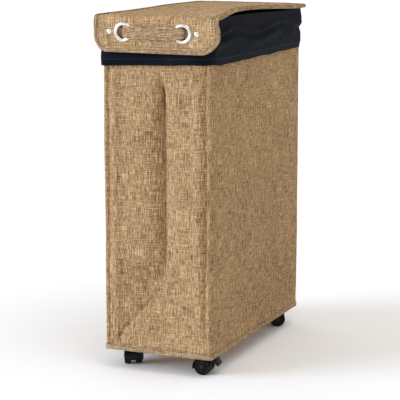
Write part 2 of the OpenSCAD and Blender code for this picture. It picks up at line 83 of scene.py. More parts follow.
Triple = tuple[float, float, float]  # a colour, a point or three factors


# ---------------------------------------------------------------- working the mesh


def deselect() -> None:
    """Leaves nothing selected."""
    for obj in bpy.context.selected_objects:
        obj.select_set(False)


def pick(obj: bpy.types.Object) -> None:
    """Selects one object alone and makes it active."""
    deselect()
    obj.select_set(True)
    bpy.context.view_layer.objects.active = obj


def newest(name: str) -> bpy.types.Object:
    """Names the primitive that was just added.

    Args:
        name: The piece's name.

    Returns:
        The active object, renamed with its mesh.
    """
    obj = bpy.context.active_object
    obj.name = name
    obj.data.name = name
    return obj


def settle(obj: bpy.types.Object) -> None:
    """Moves a piece's place, turn and scale into its mesh."""
    pick(obj)
    bpy.ops.object.transform_apply(location=True, rotation=True, scale=True)


@contextmanager
def editing(obj: bpy.types.Object) -> Iterator[None]:
    """Opens a piece in edit mode with everything on it selected, and closes it again."""
    pick(obj)
    bpy.ops.object.mode_set(mode="EDIT")
    bpy.ops.mesh.select_all(action="SELECT")
    yield
    bpy.ops.object.mode_set(mode="OBJECT")


def add_mesh(name: str, mesh: bpy.types.Mesh) -> bpy.types.Object:
    """Puts a mesh into the scene.

    Args:
        name: The object's name.
        mesh: Its mesh.

    Returns:
        The new object.
    """
    obj = bpy.data.objects.new(name, mesh)
    bpy.context.scene.collection.objects.link(obj)
    return obj


def apply_modifier(obj: bpy.types.Object, kind: str, **settings: object) -> None:
    """Adds a modifier and applies it.

    Args:
        obj: The piece.
        kind: The modifier's type.
        settings: Its properties by name.
    """
    pick(obj)
    modifier = obj.modifiers.new(kind.lower(), kind)
    for key, value in settings.items():
        setattr(modifier, key, value)
    bpy.ops.object.modifier_apply(modifier=modifier.name)


def face_out(obj: bpy.types.Object) -> None:
    """Merges doubled points and turns every face outwards."""
    with editing(obj):
        bpy.ops.mesh.remove_doubles(threshold=WELD)
        bpy.ops.mesh.normals_make_consistent(inside=False)


def smooth(obj: bpy.types.Object, angle: float = 40.0) -> None:
    """Shades a piece smooth where its faces meet within an angle in degrees."""
    pick(obj)
    bpy.ops.object.shade_smooth_by_angle(angle=math.radians(angle))


def join(name: str, parts: Sequence[bpy.types.Object]) -> bpy.types.Object:
    """Joins several objects into one piece.

    Args:
        name: The piece's name.
        parts: What to join; the first one's materials lead.

    Returns:
        The joined object.
    """
    pick(parts[0])
    for part in parts:
        part.select_set(True)
    bpy.ops.object.join()
    return newest(name)


def cloth_grid(
    name: str,
    columns: int,
    rows: int,
    place: Callable[[int, int], Vector],
    flat: Callable[[int, int], tuple[float, float]],
) -> bpy.types.Object:
    """Lays a grid of cloth over a surface.

    Args:
        name: The piece's name.
        columns: Faces across the cloth.
        rows: Faces up the cloth.
        place: Gives the point of a column and a row.
        flat: Gives the same point on the cut cloth, in metres, for the weave.

    Returns:
        The cloth as a single sheet with its own UV map.
    """
    deselect()
    bpy.ops.mesh.primitive_grid_add(x_subdivisions=columns, y_subdivisions=rows, size=1.0, calc_uvs=True)
    obj = newest(name)
    cells = [
        (round((v.co.x + 0.5) * columns), round((v.co.y + 0.5) * rows)) for v in obj.data.vertices
    ]
    uv = obj.data.uv_layers.active.data
    for loop in obj.data.loops:
        uv[loop.index].uv = flat(*cells[loop.vertex_index])
    for vertex, cell in zip(obj.data.vertices, cells):
        vertex.co = place(*cell)
    return obj


def cut_round(obj: bpy.types.Object, centre: Vector, radius: float, reach: float = 12 * MM) -> None:
    """Takes out the faces of an upright sheet that lie within a radius of a point.

    Args:
        obj: The sheet, which faces -Y there.
        centre: The hole's middle.
        radius: The hole's radius.
        reach: How far the hole reaches to either side in Y.
    """
    pick(obj)
    bpy.ops.object.mode_set(mode="EDIT")
    bpy.ops.mesh.select_all(action="DESELECT")
    bpy.ops.object.mode_set(mode="OBJECT")
    for polygon in obj.data.polygons:
        off = polygon.center - centre
        polygon.select = abs(off.y) < reach and math.hypot(off.x, off.z) < radius
    bpy.ops.object.mode_set(mode="EDIT")
    bpy.ops.mesh.delete(type="FACE")
    bpy.ops.object.mode_set(mode="OBJECT")


def thicken(obj: bpy.types.Object, thickness: float, offset: float = -1.0) -> None:
    """Gives a sheet its thickness; offset -1 grows it inwards from its face."""
    apply_modifier(obj, "SOLIDIFY", thickness=thickness, offset=offset, use_even_offset=False)


def ripple(point: Vector, size: float, seed: float = 0.0) -> float:
    """Smooth unevenness of cloth, from -1 to 1, over lumps of a size in metres."""
    return noise.noise(point / size + Vector((seed, 2.3 * seed, -seed)))


def soft_min(values: Sequence[float], blend: float) -> float:
    """The smallest of some values with its corners rounded over a blend width."""
    low = min(values)
    return low - blend * math.log(sum(math.exp((low - v) / blend) for v in values))


def ease(t: float) -> float:
    """A smooth step from 0 to 1."""
    t = min(max(t, 0.0), 1.0)
    return t * t * (3 - 2 * t)


def bell(offset: float, width: float) -> float:
    """A smooth bump: 1 at an offset of 0, almost gone at twice its width."""
    return math.exp(-((offset / width) ** 2))


def run_lengths(points: Sequence[Sequence[float]]) -> list[float]:
    """The distance walked at each point of a path, by the points' first two numbers."""
    lengths = [0.0]
    for a, b in zip(points, points[1:]):
        lengths.append(lengths[-1] + math.hypot(b[0] - a[0], b[1] - a[1]))
    return lengths


# ---------------------------------------------------------------- outlines


@dataclass(frozen=True)
class Station:
    """One point of a level outline, with its outward direction and its run along the cloth."""

    x: float
    y: float
    nx: float
    ny: float
    run: float


@dataclass(frozen=True)
class Outline:
    """A level rounded rectangle walked from the middle of the back, towards +X first.

    The walk has the same number of steps on every outline with the same step counts, so the
    stations of a bag and of its cuff match one to one.
    """

    half_w: float
    half_d: float
    corner: float
    centre_y: float
    short_steps: int = 44
    long_steps: int = 90
    corner_steps: int = 6

    def walk(self) -> list[Station]:
        """Steps round the outline.

        Returns:
            The stations, the last one at the place of the first.
        """
        straight_x = self.half_w - self.corner
        straight_y = self.half_d - self.corner
        short, long = self.short_steps, self.long_steps
        points = [(straight_x * k / short, self.half_d, 90.0) for k in range(short)]

        def turn(sx: int, sy: int, start: float) -> None:
            """Walks one rounded corner, clockwise."""
            for k in range(self.corner_steps + 1):
                angle = start - 90.0 * k / self.corner_steps
                reach_x = math.cos(math.radians(angle)) * self.corner
                reach_y = math.sin(math.radians(angle)) * self.corner
                points.append((sx * straight_x + reach_x, sy * straight_y + reach_y, angle))

        turn(1, 1, 90.0)
        points += [(self.half_w, straight_y * (1 - 2 * k / long), 0.0) for k in range(1, long)]
        turn(1, -1, 0.0)
        points += [(straight_x * (1 - k / short), -self.half_d, -90.0) for k in range(1, 2 * short)]
        turn(-1, -1, -90.0)
        points += [(-self.half_w, straight_y * (2 * k / long - 1), -180.0) for k in range(1, long)]
        turn(-1, 1, -180.0)
        points += [(-straight_x * (1 - k / short), self.half_d, 90.0) for k in range(1, short + 1)]
        stations = []
        for (x, y, angle), run in zip(points, run_lengths(points)):
            out_x, out_y = math.cos(math.radians(angle)), math.sin(math.radians(angle))
            stations.append(Station(x, y + self.centre_y, out_x, out_y, run))
        return stations


# ---------------------------------------------------------------- finishes


@dataclass(frozen=True)
class Dye:
    """A woven cloth's material name, its shades from brown slubs to pale yarn, and its yarn count."""

    name: str
    dark: Triple
    middle: Triple
    pale: Triple
    yarns: float = 900.0


class Cloth(Enum):
    """The woven cloths on the hamper."""

    SHELL = Dye("burlap_weave", (0.078, 0.035, 0.011), (0.365, 0.224, 0.106), (0.76, 0.54, 0.315))
    LID = Dye("burlap_lid", (0.090, 0.042, 0.014), (0.41, 0.253, 0.122), (0.82, 0.59, 0.35))
    TAPE = Dye("burlap_tape", (0.075, 0.038, 0.015), (0.35, 0.22, 0.115), (0.74, 0.55, 0.34), 1000.0)


def socket(group: bpy.types.NodeTree, name: str, kind: str, inward: bool,
           default: float | None = None) -> None:
    """Adds one named socket to a node group.

    Args:
        group: The group's tree.
        name: The socket's name.
        kind: The socket's type.
        inward: Whether it is an input.
        default: The input's value until it is set.
    """
    made = group.interface.new_socket(name=name, in_out="INPUT" if inward else "OUTPUT", socket_type=kind)
    if default is not None:
        made.default_value = default


@dataclass
class Wiring:
    """Adds and joins nodes in one tree."""

    tree: bpy.types.NodeTree

    def add(self, kind: str, **settings: object) -> bpy.types.Node:
        """Adds a node and sets its properties.

        Args:
            kind: The node's type.
            settings: Its properties by name.

        Returns:
            The node.
        """
        node = self.tree.nodes.new(kind)
        for key, value in settings.items():
            setattr(node, key, value)
        return node

    def link(self, source: bpy.types.NodeSocket, target: bpy.types.NodeSocket) -> None:
        """Joins two sockets."""
        self.tree.links.new(source, target)

    def math(self, operation: str, first: object, second: object = None) -> bpy.types.NodeSocket:
        """Adds a Math node.

        Args:
            operation: What it works out.
            first: A socket or a number.
            second: A socket or a number, where the operation takes two.

        Returns:
            The result's socket.
        """
        node = self.add("ShaderNodeMath", operation=operation)
        for index, value in enumerate((first, second)):
            if value is None:
                continue
            if isinstance(value, (int, float)):
                node.inputs[index].default_value = value
            else:
                self.link(value, node.inputs[index])
        return node.outputs[0]

    def weighted(self, first: object, share: float, second: object, rest: float) -> bpy.types.NodeSocket:
        """Adds two values up, each times its own weight.

        Args:
            first: A socket.
            share: Its weight.
            second: Another socket.
            rest: That one's weight.

        Returns:
            The sum's socket.
        """
        return self.math("ADD", self.math("MULTIPLY", first, share), self.math("MULTIPLY", second, rest))

    def from_base(self, base: float, value: object, gain: float) -> bpy.types.NodeSocket:
        """Adds a value times a gain to a base.

        Args:
            base: The result where the value is 0.
            value: A socket.
            gain: What the value is multiplied by.

        Returns:
            The result's socket.
        """
        return self.math("ADD", base, self.math("MULTIPLY", value, gain))

    def object_place(self) -> bpy.types.NodeSocket:
        """Adds the Object coordinates and gives their socket."""
        return self.add("ShaderNodeTexCoord").outputs["Object"]

    def stretch(self, vector: bpy.types.NodeSocket, scale: Triple) -> bpy.types.NodeSocket:
        """Scales a vector along each axis.

        Args:
            vector: The vector's socket.
            scale: The three factors.

        Returns:
            The scaled vector's socket.
        """
        node = self.add("ShaderNodeVectorMath", operation="MULTIPLY")
        self.link(vector, node.inputs[0])
        node.inputs[1].default_value = scale
        return node.outputs[0]

    def noise(self, vector: bpy.types.NodeSocket, scale: float,
              detail: float = 2.0) -> bpy.types.NodeSocket:
        """Adds a Noise node.

        Args:
            vector: Where it is read.
            scale: Its scale.
            detail: Its detail.

        Returns:
            The noise value's socket.
        """
        node = self.add("ShaderNodeTexNoise", noise_dimensions="3D")
        node.inputs["Scale"].default_value = scale
        node.inputs["Detail"].default_value = detail
        self.link(vector, node.inputs["Vector"])
        return node.outputs["Fac"]

    def ramp(self, value: bpy.types.NodeSocket,
             stops: Sequence[tuple[float, Sequence[float]]]) -> bpy.types.NodeSocket:
        """Adds a colour ramp.

        Args:
            value: The ramp's input.
            stops: Positions with linear colours.

        Returns:
            The colour's socket.
        """
        node = self.add("ShaderNodeValToRGB")
        elements = node.color_ramp.elements
        while len(elements) < len(stops):
            elements.new(0.5)
        for element, (position, colour) in zip(elements, stops):
            element.position = position
            element.color = (*colour, 1.0)
        self.link(value, node.inputs["Fac"])
        return node.outputs["Color"]


def weave_group() -> bpy.types.NodeTree:
    """Builds the crosshatch weave: thick and thin yarns both ways, laid over and under.

    Returns:
        A group that reads flat cloth in metres and gives the yarns' shade and height.
    """
    group = bpy.data.node_groups.new("crosshatch_weave", "ShaderNodeTree")
    socket(group, "Vector", "NodeSocketVector", True)
    socket(group, "Yarns per metre", "NodeSocketFloat", True, 900.0)
    socket(group, "Shade", "NodeSocketFloat", False)
    socket(group, "Height", "NodeSocketFloat", False)
    wiring = Wiring(group)
    entry = wiring.add("NodeGroupInput")
    leave = wiring.add("NodeGroupOutput")
    flat = entry.outputs["Vector"]
    split = wiring.add("ShaderNodeSeparateXYZ")
    wiring.link(flat, split.inputs[0])
    turn = wiring.math("MULTIPLY", entry.outputs["Yarns per metre"], math.pi)
    across = wiring.math("SINE", wiring.math("MULTIPLY", split.outputs[0], turn))
    along = wiring.math("SINE", wiring.math("MULTIPLY", split.outputs[1], turn))
    over = wiring.math("MULTIPLY", across, along)
    top = wiring.math("GREATER_THAN", over, 0.0)
    warp = wiring.noise(wiring.stretch(flat, (1000.0, 30.0, 1.0)), 1.0, 1.5)
    weft = wiring.noise(wiring.stretch(flat, (34.0, 900.0, 7.0)), 1.0, 1.5)
    warp_slub = wiring.noise(wiring.stretch(flat, (760.0, 105.0, 3.0)), 1.0, 1.0)
    weft_slub = wiring.noise(wiring.stretch(flat, (110.0, 640.0, 5.0)), 1.0, 1.0)
    warp_all = wiring.weighted(warp, 0.6, warp_slub, 0.47)
    weft_all = wiring.weighted(weft, 0.58, weft_slub, 0.34)
    mix = wiring.add("ShaderNodeMix", data_type="FLOAT")
    wiring.link(top, mix.inputs["Factor"])
    wiring.link(warp_all, mix.inputs[2])
    wiring.link(weft_all, mix.inputs[3])
    yarn = wiring.weighted(warp_all, 0.62, weft_all, 0.38)
    shade = wiring.weighted(mix.outputs[0], 0.55, yarn, 0.45)
    wiring.link(shade, leave.inputs["Shade"])
    bumps = wiring.math("ABSOLUTE", over)
    height = wiring.weighted(bumps, 0.5, yarn, 0.9)
    wiring.link(height, leave.inputs["Height"])
    return group


def wear_group() -> bpy.types.NodeTree:
    """Builds fine moulding grain with scuffs, on Object coordinates.

    Returns:
        A group that gives a grain height and a scuff mask.
    """
    group = bpy.data.node_groups.new("grain_and_scuff", "ShaderNodeTree")
    socket(group, "Vector", "NodeSocketVector", True)
    socket(group, "Grain", "NodeSocketFloat", True, 2600.0)
    socket(group, "Height", "NodeSocketFloat", False)
    socket(group, "Scuff", "NodeSocketFloat", False)
    wiring = Wiring(group)
    entry = wiring.add("NodeGroupInput")
    leave = wiring.add("NodeGroupOutput")
    fine = wiring.add("ShaderNodeTexNoise")
    fine.inputs["Detail"].default_value = 3.0
    wiring.link(entry.outputs["Vector"], fine.inputs["Vector"])
    wiring.link(entry.outputs["Grain"], fine.inputs["Scale"])
    wiring.link(fine.outputs["Fac"], leave.inputs["Height"])
    broad = wiring.noise(entry.outputs["Vector"], 90.0, 4.0)
    streak = wiring.noise(wiring.stretch(entry.outputs["Vector"], (60.0, 60.0, 420.0)), 1.0, 3.0)
    patches = wiring.math("SUBTRACT", broad, 0.42)
    scuff = wiring.math("MULTIPLY", patches, wiring.math("MULTIPLY", streak, 3.0))
    limit = wiring.math("MINIMUM", wiring.math("MAXIMUM", scuff, 0.0), 1.0)
    wiring.link(limit, leave.inputs["Scuff"])
    return group


@dataclass
class Finisher:
    """Makes a material with a Principled shader and a bump, ready to be wired."""

    name: str
    roughness: float
    metallic: float = 0.0
    sheen: float = 0.0
    specular: float = 0.5
    ior: float = 1.45

    def start(self) -> tuple[bpy.types.Material, Wiring, bpy.types.Node]:
        """Makes the material.

        Returns:
            The material, its wiring and its Principled shader.
        """
        material = bpy.data.materials.new(self.name)
        material.use_nodes = True
        shader = material.node_tree.nodes["Principled BSDF"]
        shader.inputs["Roughness"].default_value = self.roughness
        shader.inputs["Metallic"].default_value = self.metallic
        shader.inputs["Sheen Weight"].default_value = self.sheen
        shader.inputs["Sheen Roughness"].default_value = 0.5
        shader.inputs["Specular IOR Level"].default_value = self.specular
        shader.inputs["IOR"].default_value = self.ior
        return material, Wiring(material.node_tree), shader

    def bump(self, wiring: Wiring, shader: bpy.types.Node, height: bpy.types.NodeSocket,
             strength: float, distance: float) -> None:
        """Feeds a height to the shader's normal.

        Args:
            wiring: The material's wiring.
            shader: Its Principled shader.
            height: The height's socket.
            strength: The bump's strength.
            distance: Its depth in metres.
        """
        bump = wiring.add("ShaderNodeBump")
        bump.inputs["Strength"].default_value = strength
        bump.inputs["Distance"].default_value = distance
        wiring.link(height, bump.inputs["Height"])
        wiring.link(bump.outputs["Normal"], shader.inputs["Normal"])


@dataclass(frozen=True)
class Burlap:
    """Heathered tan crosshatch cloth; its shade runs from brown slubs to pale yarn."""

    group: bpy.types.NodeTree
    cloth: Cloth

    def make(self) -> bpy.types.Material:
        """Makes the material."""
        dye = self.cloth.value
        base = Finisher(dye.name, 0.9, ior=1.13)
        material, wiring, shader = base.start()
        uv = wiring.add("ShaderNodeUVMap")
        weave = wiring.add("ShaderNodeGroup", node_tree=self.group)
        weave.inputs["Yarns per metre"].default_value = dye.yarns
        wiring.link(uv.outputs["UV"], weave.inputs["Vector"])
        broad = wiring.noise(wiring.object_place(), 14.0, 3.0)
        shade = wiring.math("ADD", weave.outputs["Shade"], wiring.from_base(0.02, broad, 0.06))
        colour = wiring.ramp(shade, [(0.42, dye.dark), (0.55, dye.middle), (0.67, dye.pale)])
        wiring.link(colour, shader.inputs["Base Color"])
        rough = wiring.from_base(1.05, weave.outputs["Shade"], -0.3)
        wiring.link(rough, shader.inputs["Roughness"])
        base.bump(wiring, shader, weave.outputs["Height"], 0.9, 0.0008)
        return material


@dataclass(frozen=True)
class Thread:
    """Twisted sewing thread."""

    name: str = "sewing_thread"
    colour: Triple = (0.13, 0.078, 0.038)

    def make(self) -> bpy.types.Material:
        """Makes the material."""
        base = Finisher(self.name, 0.7, sheen=0.2, specular=0.3)
        material, wiring, shader = base.start()
        twist = wiring.noise(wiring.object_place(), 1400.0, 2.0)
        darker = tuple(c * 0.6 for c in self.colour)
        wiring.link(wiring.ramp(twist, [(0.35, darker), (0.65, self.colour)]), shader.inputs["Base Color"])
        base.bump(wiring, shader, twist, 0.5, 0.0002)
        return material


@dataclass(frozen=True)
class LinerNylon:
    """Thin navy nylon with a fine plain weave and a soft sheen."""

    name: str = "liner_nylon"
    colour: Triple = (0.0044, 0.0054, 0.0088)
    light: Triple = (0.0095, 0.0115, 0.0165)
    threads: float = 5200.0

    def make(self) -> bpy.types.Material:
        """Makes the material."""
        base = Finisher(self.name, 0.33, ior=1.055)
        material, wiring, shader = base.start()
        uv = wiring.add("ShaderNodeUVMap")
        split = wiring.add("ShaderNodeSeparateXYZ")
        wiring.link(uv.outputs["UV"], split.inputs[0])
        across = wiring.math("SINE", wiring.math("MULTIPLY", split.outputs[0], self.threads))
        along = wiring.math("SINE", wiring.math("MULTIPLY", split.outputs[1], self.threads))
        cells = wiring.math("MULTIPLY", across, along)
        broad = wiring.noise(wiring.object_place(), 45.0, 4.0)
        wiring.link(wiring.ramp(broad, [(0.35, self.colour), (0.7, self.light)]), shader.inputs["Base Color"])
        rough = wiring.from_base(0.30, broad, 0.25)
        wiring.link(rough, shader.inputs["Roughness"])
        height = wiring.weighted(cells, 0.15, broad, 0.8)
        base.bump(wiring, shader, height, 0.35, 0.0006)
        return material


@dataclass(frozen=True)
class Moulded:
    """Black moulded plastic with a fine grain and dusty scuffs."""

    group: bpy.types.NodeTree
    name: str = "moulded_black"
    colour: Triple = (0.004, 0.0045, 0.0055)
    dusty: Triple = (0.016, 0.016, 0.016)
    roughness: float = 0.42

    def make(self) -> bpy.types.Material:
        """Makes the material."""
        base = Finisher(self.name, self.roughness, ior=1.25)
        material, wiring, shader = base.start()
        place = wiring.object_place()
        grain = wiring.add("ShaderNodeGroup", node_tree=self.group)
        wiring.link(place, grain.inputs["Vector"])
        wiring.link(wiring.ramp(grain.outputs["Scuff"], [(0.0, self.colour), (0.8, self.dusty)]),
                    shader.inputs["Base Color"])
        rough = wiring.from_base(self.roughness, grain.outputs["Scuff"], 0.35)
        wiring.link(rough, shader.inputs["Roughness"])
        base.bump(wiring, shader, grain.outputs["Height"], 0.18, 0.0002)
        return material


@dataclass(frozen=True)
class Metal:
    """Bare or plated metal with faint polishing marks."""

    group: bpy.types.NodeTree
    name: str
    colour: Triple
    roughness: float

    def make(self) -> bpy.types.Material:
        """Makes the material."""
        base = Finisher(self.name, self.roughness, metallic=1.0)
        material, wiring, shader = base.start()
        place = wiring.object_place()
        marks = wiring.add("ShaderNodeGroup", node_tree=self.group)
        wiring.link(place, marks.inputs["Vector"])
        worn = tuple(c * 0.82 for c in self.colour)
        wiring.link(wiring.ramp(marks.outputs["Scuff"], [(0.0, self.colour), (1.0, worn)]),
                    shader.inputs["Base Color"])
        rough = wiring.from_base(self.roughness, marks.outputs["Scuff"], 0.2)
        wiring.link(rough, shader.inputs["Roughness"])
        base.bump(wiring, shader, marks.outputs["Height"], 0.05, 0.0001)
        return material


@dataclass(frozen=True)
class Fibreboard:
    """Grey-brown pressed board."""

    name: str = "pressed_board"
    colour: Triple = (0.30, 0.22, 0.14)

    def make(self) -> bpy.types.Material:
        """Makes the material."""
        base = Finisher(self.name, 0.85)
        material, wiring, shader = base.start()
        fibres = wiring.noise(wiring.stretch(wiring.object_place(), (300.0, 90.0, 300.0)), 1.0, 5.0)
        pale = tuple(c * 1.5 for c in self.colour)
        wiring.link(wiring.ramp(fibres, [(0.3, self.colour), (0.7, pale)]), shader.inputs["Base Color"])
        base.bump(wiring, shader, fibres, 0.3, 0.0003)
        return material


class Palette:
    """Every finish on the hamper, made once."""

    def __init__(self) -> None:
        """Builds the shared groups and the materials."""
        weave = weave_group()
        grain = wear_group()
        self.burlap = Burlap(weave, Cloth.SHELL).make()
        self.lid_cloth = Burlap(weave, Cloth.LID).make()
        self.tape = Burlap(weave, Cloth.TAPE).make()
        self.thread = Thread().make()
        self.dark_thread = Thread("liner_thread", (0.03, 0.032, 0.05)).make()
        self.liner = LinerNylon().make()
        self.plastic = Moulded(grain).make()
        self.wheel = Moulded(grain, "wheel_black", (0.0035, 0.004, 0.005), (0.014, 0.014, 0.014),
                             0.45).make()
        self.nickel = Metal(grain, "polished_nickel", (0.86, 0.85, 0.82), 0.16).make()
        self.steel = Metal(grain, "zinc_steel", (0.52, 0.53, 0.55), 0.34).make()
        self.blackened = Metal(grain, "blackened_steel", (0.035, 0.036, 0.04), 0.42).make()
        self.board = Fibreboard().make()


def dress(obj: bpy.types.Object, material: bpy.types.Material) -> None:
    """Gives a piece its one material.

    Args:
        obj: The piece or CAD node.
        material: The finish.
    """
    obj.data.materials.clear()
    obj.data.materials.append(material)
    for polygon in obj.data.polygons:
        polygon.material_index = 0


# ---------------------------------------------------------------- sewing


@dataclass(frozen=True)
class Stitching:
    """A run of lockstitches: one stitch modelled once and set along a path."""

    length: float = 3.4 * MM
    gap: float = 1.5 * MM
    thick: float = 0.85 * MM

    def seed(self) -> bpy.types.Object:
        """Models one stitch along X at the origin, half sunk below Z 0.

        Returns:
            The stitch, to be copied and then removed.
        """
        deselect()
        bpy.ops.mesh.primitive_uv_sphere_add(segments=8, ring_count=5, radius=0.5,
                                             rotation=(0, math.pi / 2, 0))
        stitch = newest("stitch_seed")
        settle(stitch)
        stitch.scale = (self.length, self.thick, self.thick * 0.8)
        settle(stitch)
        return stitch

    def sew(self, name: str, runs: Sequence[Sequence[tuple[Vector, Vector]]]) -> bpy.types.Object:
        """Sets stitches along several paths.

        Args:
            name: The piece's name.
            runs: Paths as points with the cloth's outward normals.

        Returns:
            One piece that holds every stitch.
        """
        seed = self.seed()
        corners = [v.co.copy() for v in seed.data.vertices]
        faces = [tuple(p.vertices) for p in seed.data.polygons]
        points: list[Vector] = []
        polygons: list[tuple[int, ...]] = []
        pitch = self.length + self.gap
        for run in runs:
            carried = pitch / 2
            for (start, normal), (end, _) in zip(run, run[1:]):
                along = end - start
                span = along.length
                if span < 1e-7:
                    continue
                along /= span
                across = normal.cross(along).normalized()
                upright = along.cross(across)
                while carried <= span:
                    centre = start + along * carried
                    base = len(points)
                    points += [centre + along * c.x + across * c.y + upright * c.z for c in corners]
                    polygons += [tuple(base + i for i in face) for face in faces]
                    carried += pitch
                carried -= span
        mesh = bpy.data.meshes.new(name)
        mesh.from_pydata(points, [], polygons)
        bpy.data.objects.remove(seed)
        obj = add_mesh(name, mesh)
        smooth(obj, 80)
        return obj


# ---------------------------------------------------------------- the shell


@dataclass
class Shell:
    """The woven body: four panels with a gusset fold at each short end, corner sleeves and a welt.

    The gusset's heights are measured from the underside, and widths from the corner or the middle.
    Pairs are a height or depth with the width over which it falls away.
    """

    palette: Palette
    gusset_depth: float = 23 * MM
    gusset_dive: float = 4.2  # power of the wings' curve: the larger, the narrower the middle crease
    head_dive: float = 9.0  # how much the power grows at the crease's head
    foot_depth: float = 20 * MM
    foot_crease: tuple[float, float] = (3.4 * MM, 0.032)
    crease_off: float = 9 * MM
    gusset_foot: float = 118 * MM
    gusset_head: float = 493 * MM
    gusset_fall: float = 34 * MM
    crumple: float = 0.16  # share of the fold's depth
    ridge_in: float = 23 * MM
    ridge: tuple[float, float] = (5.6 * MM, 9 * MM)
    wing_bulge: float = 3.6 * MM
    corner: float = 6 * MM
    rod_tube: tuple[float, float] = (1.0 * MM, 12 * MM)
    sleeve_short: float = 10 * MM
    sleeve_long: float = 33 * MM
    short_groove: tuple[float, float] = (4.0 * MM, 3.6 * MM)
    long_groove: tuple[float, float] = (2.8 * MM, 1.7 * MM)
    side_sag: float = 2.2 * MM
    proud_most: float = 7.0 * MM
    cloth: float = 1.6 * MM
    hem_cloth: float = 5.3 * MM
    rows: int = 130
    low: Vector = field(init=False)
    high: Vector = field(init=False)
    centre_y: float = field(init=False)
    outline: Outline = field(init=False)

    def __post_init__(self) -> None:
        """Reads the shell's box from the frame."""
        left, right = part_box("left_panel"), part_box("right_panel")
        self.low = Vector((left[0].x, left[0].y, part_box("bottom_panel")[0].z))
        self.high = Vector((right[1].x, left[1].y, left[1].z))
        self.centre_y = (self.low.y + self.high.y) / 2
        self.outline = Outline(self.high.x, (self.high.y - self.low.y) / 2, self.corner, self.centre_y)

    def gusset(self, x: float, z: float) -> float:
        """How far a short panel is folded inwards.

        Args:
            x: Distance from the centre plane.
            z: Height above the floor.

        Returns:
            The fold's depth at that point, in metres; below zero on the ridges beside the wings.
        """
        height = z - self.low.z
        fold_half = self.outline.half_w - self.ridge_in
        across = max(1 - abs(x - self.crease_off) / fold_half, 0.0)
        # the foot is a flat triangle between two straight creases that run down to the corners
        wide = max(1 - abs(x) / (self.outline.half_w - 3 * MM), 0.0)
        slope = height / self.gusset_foot
        low_fold = self.foot_depth * soft_min((wide, slope), 0.006)
        hand = -math.tanh(x / (8 * MM))
        crease, crease_wide = self.foot_crease
        low_fold += hand * crease * bell(wide - slope, crease_wide) * ease(wide * 6) * ease(slope * 6)
        # above it the flat wings dive into the middle crease
        to_head = self.gusset_head - height
        fall = max(to_head / self.gusset_fall, 0.0)
        depth = self.gusset_depth * (0.88 + 0.16 * math.sin(math.pi * height / self.gusset_head))
        dive = self.gusset_dive + self.head_dive * (1 - ease(to_head / (110 * MM)))
        high_fold = depth * min(across ** dive, fall)
        open_share = ease((height - self.gusset_foot * 1.02) / (52 * MM))
        fold = low_fold + (high_fold - low_fold) * open_share
        lumps = ripple(Vector((x, 0.0, height * 0.55)), 0.032, 27.0)
        fold *= 1 + self.crumple * lumps * ease((255 * MM - height) / (100 * MM))
        # the cloth stands out beside the wings and between them
        ridge, ridge_wide = self.ridge
        from_ridge = self.outline.half_w - abs(x) - self.ridge_in
        stand = ridge * bell(from_ridge, ridge_wide) * ease((height - 30 * MM) / (90 * MM))
        stand += self.wing_bulge * max(1 - (x / fold_half) ** 2, 0.0) * open_share
        return (fold - stand) * ease(min(fall * 2, 1.0))

    def sleeve_ridge(self, from_corner: float, width: float) -> float:
        """Height of the sleeve's soft ridge and of the groove at its seam.

        Args:
            from_corner: Distance from the nearest corner along the panel.
            width: The sleeve's width there.

        Returns:
            The height above the panel, in metres.
        """
        tube, tube_wide = self.rod_tube
        tube *= math.sin(math.pi * min(from_corner / tube_wide, 1.0))
        groove, groove_wide = self.short_groove if width == self.sleeve_short else self.long_groove
        return tube - groove * bell(from_corner - width, groove_wide)

    def skin(self, station: Station, z: float) -> Vector:
        """A point of the shell's face.

        Args:
            station: The place on the outline.
            z: Height above the floor.

        Returns:
            The point.
        """
        x, y = station.x, station.y
        off_y = abs(y - self.centre_y)
        calm = ease((z - self.low.z) / (40 * MM)) * ease((self.high.z - z) / (40 * MM))
        here = Vector((x, y, z))
        lump = 1.5 * ripple(here, 0.13, 3.0) + 0.8 * ripple(Vector((x, y, z * 0.35)), 0.032, 8.0)
        out = 0.9 * MM * lump * calm
        if abs(station.ny) > LEVEL:
            out += self.sleeve_ridge(self.outline.half_w - abs(x), self.sleeve_short) * calm
            out -= self.gusset(x, z)
        if abs(station.nx) > LEVEL:
            out += self.sleeve_ridge(self.outline.half_d - off_y, self.sleeve_long) * calm
            along = off_y / self.outline.half_d
            out -= self.side_sag * calm * (1 - along * along) * (1 + 0.8 * ripple(here, 0.2, 5.0))
        out = min(out, self.proud_most)
        return Vector((x + station.nx * out, y + station.ny * out, z))

    def heights(self) -> list[float]:
        """The rows' heights, from the underside to the rim."""
        return [self.low.z + (self.high.z - self.low.z) * k / self.rows for k in range(self.rows + 1)]

    def build_panels(self) -> bpy.types.Object:
        """Makes the four panels as one sewn tube."""
        stations, heights = self.outline.walk(), self.heights()
        panels = cloth_grid(
            "shell_panels", len(stations) - 1, self.rows,
            lambda i, j: self.skin(stations[i], heights[j]),
            lambda i, j: (stations[i].run, heights[j]),
        )
        face_out(panels)
        thicken(panels, self.cloth)
        smooth(panels, 60)
        dress(panels, self.palette.burlap)
        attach(panels, "shell")
        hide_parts("front_panel", "back_panel", "left_panel", "right_panel")
        return panels

